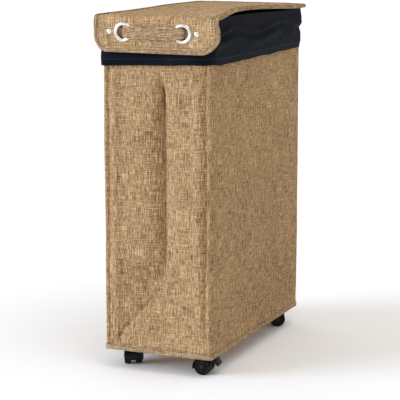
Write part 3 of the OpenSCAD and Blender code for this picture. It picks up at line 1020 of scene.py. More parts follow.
    def build_bottom(self) -> bpy.types.Object:
        """Makes the bottom cloth that the base board lies on."""
        low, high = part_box("bottom_panel")
        thick = high.z - low.z
        deselect()
        bpy.ops.mesh.primitive_cube_add(size=1.0, location=(low + high) / 2, scale=(high - low))
        bottom = newest("bottom_cloth")
        settle(bottom)
        bottom.scale = (0.996, 0.998, 1.0)
        settle(bottom)
        with editing(bottom):
            bpy.ops.mesh.bevel(offset=thick * 0.3, segments=3, affect="EDGES")
            bpy.ops.mesh.select_all(action="SELECT")
            bpy.ops.uv.cube_project(cube_size=1.0, correct_aspect=False, scale_to_bounds=False)
        smooth(bottom)
        dress(bottom, self.palette.burlap)
        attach(bottom, "shell")
        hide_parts("bottom_panel")
        return bottom

    def build_welt(self) -> bpy.types.Object:
        """Makes the turned welt sewn round the bottom edge."""
        low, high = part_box("bottom_welt")
        tall, proud = high.z - low.z, self.low.x - low.x
        stations = self.outline.walk()
        profile = [(-1.2 * MM, 0.0)]
        for k in range(9):
            angle = math.pi * (k / 8 - 0.5)
            bulge = proud * (0.35 + 0.65 * math.cos(angle) ** 0.6)
            profile.append((bulge, tall * (0.5 + 0.5 * math.sin(angle))))
        profile.append((-1.2 * MM, tall))

        def place(i: int, j: int) -> Vector:
            """A point of the welt's profile at a station."""
            station = stations[i]
            out, up = profile[j % len(profile)]
            uneven = 0.25 * MM * ripple(Vector((station.x, station.y, 0.0)), 0.018, 4.0)
            out += uneven if out > 0 else 0.0
            return Vector((station.x + station.nx * out, station.y + station.ny * out, low.z + up))

        welt = cloth_grid("bottom_welt_tape", len(stations) - 1, len(profile), place,
                          lambda i, j: (j * 1.6 * MM, stations[i].run))
        face_out(welt)
        smooth(welt, 50)
        dress(welt, self.palette.tape)
        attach(welt, "shell")
        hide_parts("bottom_welt")
        return welt

    def seam_station(self, stations: Sequence[Station], short: bool, sx: int, sy: int) -> Station:
        """Finds where a sleeve's seam runs up the shell.

        Args:
            stations: The shell's outline.
            short: True for the seam on the short panel and False for the one on the long panel.
            sx: The corner's side in X, -1 or 1.
            sy: The corner's side in Y, -1 or 1.

        Returns:
            The station nearest to the seam.
        """
        if short:
            seam = self.outline.half_w - self.sleeve_short
            sides = [s for s in stations if s.ny * sy > LEVEL]
            return min(sides, key=lambda s: abs(seam - s.x * sx))
        seam = self.outline.half_d - self.sleeve_long
        sides = [s for s in stations if s.nx * sx > LEVEL]
        return min(sides, key=lambda s: abs(seam - (s.y - self.centre_y) * sy))

    def build_stitches(self) -> bpy.types.Object:
        """Sews the sleeves' seams and the seam above the welt."""
        stations, heights = self.outline.walk(), self.heights()
        lift = 0.1 * MM

        def raised(station: Station, z: float) -> tuple[Vector, Vector]:
            """A point just off the shell's face, with the outward direction."""
            normal = Vector((station.nx, station.ny, 0.0))
            return self.skin(station, z) + normal * lift, normal

        runs = []
        for short in (True, False):
            for sx in (-1, 1):
                for sy in (-1, 1):
                    near = self.seam_station(stations, short, sx, sy)
                    runs.append([raised(near, z) for z in heights[3:-3]])
        seam_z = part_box("bottom_welt")[1].z + 2.6 * MM
        runs.append([raised(station, seam_z) for station in stations])
        stitches = Stitching().sew("shell_stitches", runs)
        dress(stitches, self.palette.thread)
        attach(stitches, "shell")
        return stitches

    def build_sleeves(self) -> list[bpy.types.Object]:
        """Makes the four sewn tubes that hold the corner rods."""
        sleeves = []
        steps, rows = 14, 60
        for corner, (sx, sy) in CORNERS.items():
            low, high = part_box(f"rod_sleeve_{corner}")
            rod_low, rod_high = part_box(f"corner_rod_{corner}")
            axis = Vector(((rod_low.x + rod_high.x) / 2, (rod_low.y + rod_high.y) / 2))
            radius = (rod_high.x - rod_low.x) / 2 + 0.9 * MM

            def place(i: int, j: int, axis=axis, radius=radius, low=low, high=high, sx=sx, sy=sy) -> Vector:
                """A point of the tube, from the short panel's tail round the rod to the long panel's."""
                z = low.z + (high.z - low.z) * j / rows
                inner = low.x if sx > 0 else high.x
                tail_x = Vector((inner, (high.y if sy > 0 else low.y) - sy * 0.4 * MM))
                tail_y = Vector(((high.x if sx > 0 else low.x) - sx * 0.4 * MM, low.y if sy > 0 else high.y))
                if i == 0:
                    flat = tail_x
                elif i == steps:
                    flat = tail_y
                else:
                    angle = math.radians(80 + 290 * (i - 1) / (steps - 2))
                    flat = axis + Vector((-sx * math.cos(angle), sy * math.sin(angle))) * radius
                wave = 0.15 * MM * ripple(Vector((flat.x, flat.y, z)), 0.02, 6.0)
                return Vector((flat.x + wave, flat.y - wave, z))

            sleeve = cloth_grid(f"rod_sleeve_cloth_{corner}", steps, rows, place,
                                lambda i, j, span=high.z - low.z: (i * 4 * MM, span * j / rows))
            thicken(sleeve, 0.7 * MM, 0.0)
            smooth(sleeve, 60)
            dress(sleeve, self.palette.burlap)
            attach(sleeve, "shell")
            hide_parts(f"rod_sleeve_{corner}")
            sleeves.append(sleeve)
        return sleeves

    def build_hem(self) -> bpy.types.Object:
        """Makes the hem that holds the wire hoop, with soft edges."""
        low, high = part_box("rim_hem")
        outline = Outline(high.x - 0.2 * MM, (high.y - low.y) / 2 - 0.2 * MM, self.corner, self.centre_y)
        stations = outline.walk()
        mid, half_tall = (low.z + high.z) / 2, (high.z - low.z) / 2 - 0.1 * MM
        half_thick = self.hem_cloth / 2
        steps, squareness = 12, 0.55

        def place(i: int, j: int) -> Vector:
            """A point of the hem's rounded section at a station."""
            station = stations[i]
            angle = 2 * math.pi * j / steps
            c, s = math.cos(angle), math.sin(angle)
            out = math.copysign(abs(c) ** squareness, c) * half_thick - half_thick
            up = math.copysign(abs(s) ** squareness, s) * half_tall
            return Vector((station.x + station.nx * out, station.y + station.ny * out, mid + up))

        hem = cloth_grid("rim_hem_cloth", len(stations) - 1, steps, place,
                         lambda i, j: (stations[i].run, j * 3 * MM))
        face_out(hem)
        smooth(hem, 60)
        dress(hem, self.palette.burlap)
        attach(hem, "shell")
        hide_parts("rim_hem")
        return hem

    def build(self) -> list[bpy.types.Object]:
        """Makes every piece of the shell."""
        return [self.build_panels(), self.build_bottom(), self.build_welt(), self.build_stitches(),
                self.build_hem(), *self.build_sleeves()]


# ---------------------------------------------------------------- the liner


@dataclass
class Liner:
    """The navy bag that hangs inside, folded out over the rim into a slack cuff."""

    palette: Palette
    shell: Shell
    cloth: float = 0.7 * MM
    top_rise: float = 6.5 * MM
    floor_rows: int = 8
    wall_rows: int = 54
    fold_rows: int = 6
    cuff_rows: int = 50
    hem_rows: int = 3
    low: Vector = field(init=False)
    high: Vector = field(init=False)

    def __post_init__(self) -> None:
        """Reads the liner's boxes and sets its two outlines."""
        self.low, bag_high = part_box("liner_bag")
        cuff_low, self.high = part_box("liner_cuff")
        bag_half_w = bag_high.x - 0.5 * MM
        bag_half_d = (bag_high.y - self.low.y) / 2 - 0.5 * MM
        self.cuff_half_w = self.high.x
        self.cuff_half_d = (self.high.y - cuff_low.y) / 2
        self.cuff_low = cuff_low.z
        centre = self.shell.centre_y
        self.bag = Outline(bag_half_w, bag_half_d, 12 * MM, centre).walk()
        self.cuff = Outline(self.cuff_half_w - 0.6 * MM, self.cuff_half_d - 0.6 * MM, 15 * MM, centre).walk()

    def cuff_puff(self, station: Station, t: float) -> tuple[float, float]:
        """The cuff's slackness: long folds along its sides, small wrinkles and a hem that wanders.

        Args:
            station: The place on the cuff's outline.
            t: From 0 at the top to 1 at the hem.

        Returns:
            How far the cloth moves out, and how far it moves up, in metres.
        """
        here = Vector((station.x, station.y, 0.0))
        off_y = station.y - self.shell.centre_y
        back = off_y / self.cuff_half_d / 2 + 0.5
        side = ease((abs(station.nx) - 0.4) * 2)
        hand = 1.0 if station.x > 0 else 0.0
        # the main fold zigzags along each side between two soft swells
        fold_at = 0.41 + 0.08 * math.sin(2 * math.pi * (1.92 * back - 0.633 + 0.3 * (1 - hand)))
        strength = (0.75 + 0.5 * ripple(here, 0.09, 21.0)) * side
        folds = -2.6 * MM * bell(t - fold_at, 0.045)
        folds += 3.4 * MM * bell(t - fold_at + 0.12, 0.07)
        folds += 3.8 * MM * bell(t - fold_at - 0.13, 0.085)
        small = ripple(Vector((off_y * 0.28, station.x * 0.28, t * 0.074)), 0.0085, 14.0)
        drift = ripple(Vector((off_y * 0.5, station.x * 0.5, t * 0.074)), 0.024, 33.0)
        hang = math.sin(math.pi * min(t * 1.1, 1.0))
        wrinkles = (1.1 * MM * small + 1.5 * MM * drift) * hang * (0.35 + 0.65 * side)
        out = strength * folds + wrinkles
        # the short sides have shallow level waves above the hem
        wave_at = 2.3 * t + 0.1 + 0.5 * ripple(here, 0.06, 7.0)
        out += (1 - side) * 1.0 * MM * math.sin(2 * math.pi * wave_at) * ease((t - 0.5) * 4)
        # two corners hang looser than the others
        back_right = ease(1 - math.hypot(station.x - self.cuff_half_w, off_y - self.cuff_half_d) / 0.08)
        out += back_right * 3.0 * MM * math.sin(2.6 * math.pi * t) * hang
        front_left = ease(1 - math.hypot(station.x + self.cuff_half_w, off_y + self.cuff_half_d) / 0.05)
        out += front_left * 2.2 * MM * ease((t - 0.55) * 3)
        out -= 1.8 * MM * ease((t - 0.8) * 5) * (1 - 0.6 * front_left)
        # the hem hangs lower at the front left and higher at the front right
        level = (-5.0 + 8.5 * (station.x / self.cuff_half_w + 1) / 2) * MM
        near_front = 1 - ease((back - 0.01) / (0.1 if hand else 0.3))
        up = level * near_front * t
        up += (1.6 * MM * ripple(here, 0.05, 31.0) + 0.5 * MM * ripple(here, 0.018, 5.0)) * t
        up += self.top_slack(station) * max(1 - 2.2 * t, 0.0) ** 1.3
        return max(out, -2.3 * MM), up

    def top_slack(self, station: Station) -> float:
        """How far the fold-over stands up over the rim: most at the right, just behind the flap.

        Args:
            station: The place on the cuff's outline.

        Returns:
            The height, in metres.
        """
        back = (station.y - self.shell.centre_y) / self.cuff_half_d / 2 + 0.5
        hand = ease((station.x / self.cuff_half_w + 0.2) / 1.2)
        return self.top_rise * hand * ease((back - 0.02) / 0.18) * (1 - ease((back - 0.24) / 0.66))

    def point(self, i: int, j: int) -> Vector:
        """A point of the liner, from its floor's middle up the wall, over the rim and down the cuff.

        Args:
            i: The station.
            j: The row.

        Returns:
            The point.
        """
        inner, outer = self.bag[i], self.cuff[i]
        floor_z = self.low.z + 0.3 * MM
        rim_z = self.high.z - 0.75 * MM
        centre = self.shell.centre_y
        if j <= self.floor_rows:
            share = j / self.floor_rows
            here = Vector((inner.x * share, centre + (inner.y - centre) * share, 0.0))
            lift = 0.9 * MM * (1 + ripple(here, 0.06, 9.0)) * min(1.0, 1.4 * (1 - share) + 0.2)
            return Vector((here.x, here.y, floor_z + lift))
        j -= self.floor_rows
        if j <= self.wall_rows:
            share = j / self.wall_rows
            z = floor_z + (rim_z - 2.5 * MM - floor_z) * share
            here = Vector((inner.x, inner.y, z))
            calm = math.sin(math.pi * min(1.0, 1.02 * share)) ** 0.5 if share < 1 else 0.0
            sag = 1.2 * MM * (1 + ripple(here, 0.07, 13.0)) + 1.3 * MM * (1 + ripple(here, 0.022, 17.0))
            fold = self.shell.gusset(inner.x, z) if abs(inner.ny) > LEVEL else 0.0
            follow = max(fold - 1.0 * MM, 0.0)
            inward = sag * calm + follow
            return Vector((inner.x - inner.nx * inward, inner.y - inner.ny * inward, z))
        j -= self.wall_rows
        if j <= self.fold_rows:
            share = j / self.fold_rows
            lift = 0.45 * MM * math.sin(math.pi * share)
            base = Vector((inner.x, inner.y)).lerp(Vector((outer.x, outer.y)), share)
            lift += self.top_slack(outer) * ease(share * 1.2)
            return Vector((base.x, base.y, rim_z + lift - 0.15 * MM * share))
        j -= self.fold_rows
        if j <= self.cuff_rows:
            t = j / self.cuff_rows
            out, up = self.cuff_puff(outer, t)
            z = rim_z - 1.0 * MM - (rim_z - 1.0 * MM - self.cuff_low) * t + up
            return Vector((outer.x + outer.nx * out, outer.y + outer.ny * out, z))
        # the hem turns in and a short way up behind the cuff
        step = j - self.cuff_rows
        out, up = self.cuff_puff(outer, 1.0)
        out -= 1.4 * MM * step
        z = self.cuff_low + up + (0.6 * MM if step == 1 else 9 * MM * (step - 1) / 2)
        return Vector((outer.x + outer.nx * out, outer.y + outer.ny * out, z))

    def build_bag(self) -> bpy.types.Object:
        """Makes the bag with its cuff as one cloth."""
        rows = self.floor_rows + self.wall_rows + self.fold_rows + self.cuff_rows + self.hem_rows
        bag = cloth_grid("liner", len(self.bag) - 1, rows, self.point,
                         lambda i, j: (self.cuff[i].run, j * 6 * MM))
        face_out(bag)
        thicken(bag, self.cloth, 0.0)
        smooth(bag, 70)
        dress(bag, self.palette.liner)
        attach(bag, "shell")
        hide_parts("liner_bag", "liner_cuff")
        return bag

    def build_stitches(self) -> bpy.types.Object:
        """Sews the cuff's hem."""
        run = []
        row = self.floor_rows + self.wall_rows + self.fold_rows + round(self.cuff_rows * 0.86)
        for i, station in enumerate(self.cuff):
            normal = Vector((station.nx, station.ny, 0.0))
            run.append((self.point(i, row) + normal * 0.4 * MM, normal))
        stitches = Stitching(2.6 * MM, 1.2 * MM, 0.6 * MM).sew("liner_stitches", [run])
        dress(stitches, self.palette.dark_thread)
        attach(stitches, "shell")
        return stitches

    def build(self) -> list[bpy.types.Object]:
        """Makes the liner and its hem stitches."""
        return [self.build_bag(), self.build_stitches()]


# ---------------------------------------------------------------- the lid and its flap


@dataclass
class Lid:
    """The board-stiffened lid and the flap that hangs from its front edge, in one cover."""

    palette: Palette
    fold_r: float = 10 * MM
    fold_r_right: float = 19 * MM
    tape_w: float = 6.5 * MM
    stitch_in: float = 8.5 * MM
    edge_t: float = 5.2 * MM
    fold_t: float = 3.6 * MM
    spring: float = 10 * MM
    left_sag: float = 2.0 * MM
    rear_sag: float = 2.6 * MM
    flare_right: float = 7.0 * MM
    stray_left: float = 4.5 * MM
    flap_corner: float = 28 * MM
    rear_corner: float = 14 * MM
    cloth: float = 0.9 * MM
    half_w: float = field(init=False)

    def __post_init__(self) -> None:
        """Reads the lid's and the flap's boxes."""
        low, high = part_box("lid_binding")
        flap_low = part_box("flap_front_fabric")[0]
        self.half_w = high.x
        self.top = high.z
        self.rear = high.y
        self.face = flap_low.y
        self.lid_t = high.z - low.z
        self.flap_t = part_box("flap_lining")[1].y - self.face
        self.foot = flap_low.z
        self.bend = self.fold_r * math.pi / 2
        self.lid_len = self.rear - self.face - self.fold_r
        self.flap_len = self.top - self.fold_r - self.foot
        self.length = self.lid_len + self.bend + self.flap_len
        ring_low, ring_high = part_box("grommet_right")
        self.hole = Vector(((ring_low.x + ring_high.x) / 2, self.face, (ring_low.z + ring_high.z) / 2))

    def half_at(self, s: float) -> float:
        """Half the cover's width at a distance from the lid's rear edge.

        Args:
            s: Distance along the cover.

        Returns:
            The half width, drawn in by the rounded corners.
        """
        for corner, from_end in ((self.flap_corner, self.length - s), (self.rear_corner, s)):
            if from_end < corner:
                drop = corner - max(from_end, 0.0)
                return self.half_w - corner + math.sqrt(max(corner**2 - drop**2, 0.0))
        return self.half_w

    def lift(self, x: float, y: float) -> float:
        """How far the slack lid stands off flat: up at the right behind the fold, down at the back.

        Args:
            x: Distance from the centre plane.
            y: Place along the lid.

        Returns:
            The height over the flat lid.
        """
        back = min(max((y - self.face) / (self.rear - self.face), 0.0), 1.0)
        right = self.spring * ease((back - 0.02) / 0.2) * (1 - ease((back - 0.26) / 0.66))
        left = -self.left_sag * math.sin(math.pi * min(back / 0.8, 1.0))
        share = ease((x / self.half_w + 0.45) / 1.4)
        return left + (right - left) * share - self.rear_sag * ease((back - 0.6) / 0.35)

    def bent(self, x: float, s: float, depth: float) -> Vector:
        """A point of the cover, bent over the fold.

        Args:
            x: Distance from the centre plane.
            s: Distance along the cover from the lid's rear edge.
            depth: Depth below the cover's outer face.

        Returns:
            The point.
        """
        bend_r = self.fold_r + (self.fold_r_right - self.fold_r) * ease((x - 70 * MM) / (36 * MM))
        hanging = self.top - bend_r - self.foot
        turn = bend_r * math.pi / 2
        up = self.length - s
        x += self.flare(x, up / hanging)
        if up <= hanging:
            return Vector((x, self.face + depth, self.foot + up))
        if up < hanging + turn:
            angle = (hanging + turn - up) / bend_r
            hub = Vector((x, self.face + bend_r, self.top - bend_r))
            return hub + Vector((0.0, -math.sin(angle), math.cos(angle))) * (bend_r - depth)
        along = (up - hanging - turn) / (self.length - hanging - turn)
        y = self.face + bend_r + along * (self.rear - self.face - bend_r)
        return Vector((x, y, self.top - depth + self.lift(x, y)))

    def flare(self, x: float, share: float) -> float:
        """How far the slack cover strays to the right: at the flap's upper right and all its left.

        Args:
            x: Distance from the centre plane.
            share: Distance up from the flap's foot, 1 where the fold starts.

        Returns:
            The distance towards +X.
        """
        right = self.flare_right * bell(share - 0.75, 0.55) * ease((x - 88 * MM) / (26 * MM))
        left = self.stray_left * (1 - ease((share - 1.2) / 1.2)) * ease((-x - 88 * MM) / (24 * MM))
        return right + left

    def thickness(self, s: float, edge: float) -> float:
        """The cover's whole thickness: thin at the fold, where no board lies, and at the edge.

        Args:
            s: Distance along the cover from the lid's rear edge.
            edge: Distance from the nearest edge.

        Returns:
            The distance between the outer face and the lining.
        """
        from_fold = abs(s - self.lid_len - self.bend / 2)
        board = self.flap_t
        if s < self.lid_len:
            board = self.edge_t + (self.lid_t - self.edge_t) * ease((edge - self.tape_w) / (9 * MM))
        return self.fold_t + (board - self.fold_t) * ease((from_fold - self.bend / 2) / (9 * MM))

    def steps(self) -> list[float]:
        """Distances along the cover, close together at the fold and the rounded ends."""
        marks = [self.rear_corner * (1 - math.cos(math.pi / 2 * k / 4)) for k in range(4)]
        marks += [self.rear_corner + (self.lid_len - self.rear_corner) * k / 70 for k in range(70)]
        marks += [self.lid_len + self.bend * k / 8 for k in range(8)]
        flap_flat = self.flap_len - self.flap_corner
        start = self.lid_len + self.bend
        marks += [start + flap_flat * k / 10 for k in range(10)]
        marks += [self.length - self.flap_corner * math.cos(math.pi / 2 * k / 14) for k in range(15)]
        marks[-1] = self.length
        return sorted(marks)

    def quilt(self, x: float, s: float) -> float:
        """How far the outer cloth stands off the board: slack in the middle, drawn in by the seam.

        Args:
            x: Distance from the centre plane.
            s: Distance along the cover.

        Returns:
            The height over the outer face, in metres.
        """
        edge = min(self.half_at(s) - abs(x), s, self.length - s)
        groove = bell(edge - self.stitch_in, 2.0 * MM)
        here = Vector((x, s, 0.0))
        slack = 0.35 * ripple(here, 0.09, 3.0) + 0.25 * ripple(here, 0.028, 6.0)
        wave = 0.8 * MM * ripple(Vector((x * 0.4, s, 0.0)), 0.11, 15.0)
        return MM * slack + wave * ease(edge / (30 * MM)) * 0.6 - 0.4 * MM * groove

    def face_sheet(self, name: str, outer: bool) -> bpy.types.Object:
        """Makes the outer cloth or the lining.

        Args:
            name: The piece's name.
            outer: True for the cloth on top and in front.

        Returns:
            The cloth with its thickness.
        """
        steps = self.steps()
        columns = 72
        margin = 0.8 * MM

        def place(i: int, j: int) -> Vector:
            """A point of the cloth at a column and a step."""
            s = steps[j]
            u = 2 * i / columns - 1
            s_in = min(max(s, margin), self.length - margin)
            x = u * (self.half_at(s) - margin)
            edge = min(self.half_at(s) - abs(x), s, self.length - s)
            roll = 1.4 * MM * (1 - ease(edge / (3.5 * MM)))
            if outer:
                return self.bent(x, s_in, roll - self.quilt(x, s))
            return self.bent(x, s_in, self.thickness(s, edge) - roll - 0.3 * MM)

        sheet = cloth_grid(name, columns, len(steps) - 1, place,
                           lambda i, j: ((2 * i / columns - 1) * self.half_at(steps[j]), steps[j]))
        with editing(sheet):
            bpy.ops.mesh.remove_doubles(threshold=WELD)
        self.face_away(sheet, outer)
        self.cut_holes(sheet, 13.4 * MM)
        thicken(sheet, self.cloth)
        smooth(sheet, 60)
        return sheet

    def cut_holes(self, sheet: bpy.types.Object, radius: float) -> None:
        """Cuts the two grommet holes out of a sheet.

        Args:
            sheet: A cloth or a board's face.
            radius: The holes' radius.
        """
        for side in (-1, 1):
            cut_round(sheet, Vector((side * self.hole.x, self.hole.y, self.hole.z)), radius)

    @staticmethod
    def face_away(sheet: bpy.types.Object, outer: bool) -> None:
        """Turns an open sheet's faces up and forward, or down and back for a lining."""
        middle = sheet.data.polygons[len(sheet.data.polygons) // 3]
        sheet.data.update()
        up = middle.normal.z > 0 or middle.normal.y < -0.5
        if up != outer:
            with editing(sheet):
                bpy.ops.mesh.flip_normals()

    def rim_path(self) -> list[tuple[float, float, float, float]]:
        """The cover's edge, walked once round the unfolded lid.

        Returns:
            Points as x, s, and the outward direction in the same two axes.
        """
        path: list[tuple[float, float, float, float]] = []

        def side(sign: int, marks: list[float]) -> None:
            """Walks one long edge."""
            for s in marks:
                path.append((sign * self.half_w, s, float(sign), 0.0))

        def turn(cx: float, cs: float, r: float, start: float, steps: int) -> None:
            """Walks a rounded corner through a quarter turn, clockwise from +X towards +S."""
            for k in range(steps + 1):
                a = math.radians(start + 90 * k / steps)
                path.append((cx + r * math.cos(a), cs + r * math.sin(a), math.cos(a), math.sin(a)))

        long_marks = [s for s in self.steps() if self.rear_corner < s < self.length - self.flap_corner]
        wide = self.half_w - self.flap_corner
        side(1, long_marks)
        turn(wide, self.length - self.flap_corner, self.flap_corner, 0, 14)
        path += [(wide * (1 - 2 * k / 30), self.length, 0.0, 1.0) for k in range(1, 30)]
        turn(-wide, self.length - self.flap_corner, self.flap_corner, 90, 14)
        side(-1, long_marks[::-1])
        narrow = self.half_w - self.rear_corner
        turn(-narrow, self.rear_corner, self.rear_corner, 180, 6)
        path += [(narrow * (2 * k / 30 - 1), 0.0, 0.0, -1.0) for k in range(1, 30)]
        turn(narrow, self.rear_corner, self.rear_corner, 270, 6)
        path.append(path[0])
        return path

    def build_binding(self) -> bpy.types.Object:
        """Makes the tape that wraps the edge of the lid and the flap."""
        path = self.rim_path()
        steps = 14

        def place(i: int, j: int) -> Vector:
            """A point of the tape's U section at a point of the edge."""
            x, s, dx, ds = path[i]
            thick = self.thickness(s, 0.0)
            share = j / steps
            if share < 0.3:
                inward, depth = self.tape_w * (1 - share / 0.3), -0.75 * MM
            elif share > 0.7:
                inward, depth = self.tape_w * (share - 0.7) / 0.3, thick + 0.25 * MM
            else:
                a = math.pi * (share - 0.3) / 0.4
                inward = -1.0 * MM * math.sin(a)
                depth = thick / 2 - (thick / 2 + 0.5 * MM) * math.cos(a)
            inward += 0.25 * MM * ripple(Vector((x, s, 0.0)), 0.02, 12.0)
            along = min(max(s - ds * inward, -1 * MM), self.length + 1 * MM)
            return self.bent(x - dx * inward, along, depth)

        run = run_lengths(path)
        tape = cloth_grid("lid_binding_tape", len(path) - 1, steps, place,
                          lambda i, j: (j * 1.8 * MM, run[i]))
        face_out(tape)
        thicken(tape, 0.7 * MM, -1.0)
        smooth(tape, 60)
        return tape

    def build_stitches(self) -> bpy.types.Object:
        """Sews the row of topstitches that holds the binding and the second row inside it."""
        runs = []
        for inward in (self.tape_w - 1.2 * MM, self.stitch_in + 1.5 * MM):
            run = []
            for x, s, dx, ds in self.rim_path():
                px, ps = x - dx * inward, s - ds * inward
                depth = -1.05 * MM if inward < self.tape_w else -self.quilt(px, ps) - 0.05 * MM
                point = self.bent(px, ps, depth)
                run.append((point, (point - self.bent(px, ps, depth + 1 * MM)).normalized()))
            runs.append(run)
        return Stitching(3.6 * MM, 1.6 * MM, 0.8 * MM).sew("lid_topstitch", runs)

    def build_board(self, name: str, near: float, far: float, deep: float, thick: float) -> bpy.types.Object:
        """Makes the stiff board inside the lid or the flap.

        Args:
            name: The piece's name.
            near: Where it starts, as a distance along the cover from the lid's rear edge.
            far: Where it ends.
            deep: Depth of its outer face below the cover's.
            thick: Its thickness.

        Returns:
            The board.
        """
        columns, rows, inset = 72, 48, 13 * MM

        def place(i: int, j: int) -> Vector:
            """A point of the board's outer face."""
            s = near + (far - near) * j / rows
            half = self.half_at(s + inset if s > self.lid_len else s) - inset
            return self.bent((2 * i / columns - 1) * half, s, deep)

        board = cloth_grid(name, columns, rows, place, lambda i, j: (i * 3 * MM, j * 3 * MM))
        self.face_away(board, True)
        self.cut_holes(board, 14.5 * MM)
        thicken(board, thick)
        smooth(board, 40)
        dress(board, self.palette.board)
        return board

    def blend(self, piece: bpy.types.Object) -> None:
        """Moves a piece's place, turn and scale into its mesh."""
        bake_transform(piece)

    def build(self) -> list[bpy.types.Object]:
        """Makes the cover, the lining, the binding and their stitches."""
        cover = self.face_sheet("lid_cover", True)
        dress(cover, self.palette.lid_cloth)
        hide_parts("lid_top_fabric", "flap_front_fabric")
        lining = self.face_sheet("lid_lining_cloth", False)
        dress(lining, self.palette.liner)
        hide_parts("lid_lining", "flap_lining")
        tape = self.build_binding()
        dress(tape, self.palette.tape)
        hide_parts("lid_binding")
        stitches = self.build_stitches()
        dress(stitches, self.palette.thread)
        pieces = [cover, lining, tape, stitches]
        for piece in pieces:
            self.blend(piece)
        lid_board = self.build_board("lid_stiffener", 15 * MM, self.lid_len - 16 * MM, 1.6 * MM, 4.4 * MM)
        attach(lid_board, "lid")
        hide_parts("lid_board")
        start = self.lid_len + self.bend + 1 * MM
        flap_board = self.build_board("flap_stiffener", start, self.length - 13 * MM, 1.4 * MM, 1.8 * MM)
        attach(flap_board, "flap")
        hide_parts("flap_board")
        return pieces + [lid_board, flap_board]


@dataclass
class HingeCloth:
    """The cloth hinge: sewn to the back panel, up behind the cuff and onto the lid's rear edge."""

    palette: Palette
    lid: Lid
    cloth: float = 1.3 * MM
    lap: float = 14 * MM

    def route(self) -> list[Vector]:
        """The cloth's middle line, seen from the side.

        Returns:
            Points from the seam on the back panel to the seam on the lid.
        """
        low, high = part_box("hinge_strip")
        sewn, rise, corner = 30 * MM, 9 * MM, 2.0 * MM
        inner, outer = low.y + 0.75 * MM, high.y - 0.75 * MM
        top = self.lid.top - 1.9 * MM
        points = [Vector((0, inner, low.z + sewn * k / 8)) for k in range(9)]
        for k in range(1, 9):
            share = k / 8
            points.append(Vector((0, inner + (outer - inner) * ease(share), low.z + sewn + rise * share)))
        start_z = low.z + sewn + rise
        points += [Vector((0, outer, start_z + (top - corner - start_z) * k / 20)) for k in range(1, 21)]
        hub_y, hub_z = outer - corner, top - corner
        for k in range(1, 7):
            a = math.pi / 2 * k / 6
            points.append(Vector((0, hub_y + corner * math.cos(a), hub_z + corner * math.sin(a))))
        points += [Vector((0, hub_y - (self.lap + 2 * MM) * k / 6, top)) for k in range(1, 7)]
        return points

    def build(self) -> list[bpy.types.Object]:
        """Makes the hinge cloth and its stitches."""
        low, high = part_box("hinge_strip")
        route = self.route()
        columns = 48
        half = high.x
        lengths = run_lengths([(point.y, point.z) for point in route])

        def place(i: int, j: int) -> Vector:
            """A point of the hinge cloth."""
            x = half * (2 * i / columns - 1)
            wave = 0.35 * MM * ripple(Vector((x, 0.0, route[j].z)), 0.03, 7.0)
            slack = ease((j - 4) / 6) * ease((len(route) - 12 - j) / 6)
            return Vector((x, route[j].y + abs(wave) * slack, route[j].z))

        strip = cloth_grid("lid_hinge_cloth", columns, len(route) - 1, place,
                           lambda i, j: (half * (2 * i / columns - 1), lengths[j]))
        face_out(strip)
        thicken(strip, self.cloth, 0.0)
        smooth(strip, 60)
        dress(strip, self.palette.burlap)
        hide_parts("hinge_strip")
        edge = half - 4 * MM
        lift = self.cloth / 2 + 0.1 * MM
        back = Vector((0, 1, 0))
        up = Vector((0, 0, 1))
        seam_y = route[0].y + lift
        box_low, box_high = low.z + 4 * MM, low.z + 24 * MM
        corners = [(-edge, box_low), (edge, box_low), (edge, box_high), (-edge, box_high), (-edge, box_low)]
        seam = [(Vector((x, seam_y, z)), back) for x, z in corners]
        lid_z = route[-1].z + lift
        lap_rows = [route[-1].y + 3 * MM, route[-1].y + 9 * MM]
        rows = [[(Vector((-edge, y, lid_z)), up), (Vector((edge, y, lid_z)), up)] for y in lap_rows]
        stitches = Stitching().sew("lid_hinge_stitches", [seam, *rows])
        dress(stitches, self.palette.thread)
        for piece in (strip, stitches):
            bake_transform(piece)
        return [strip, stitches]


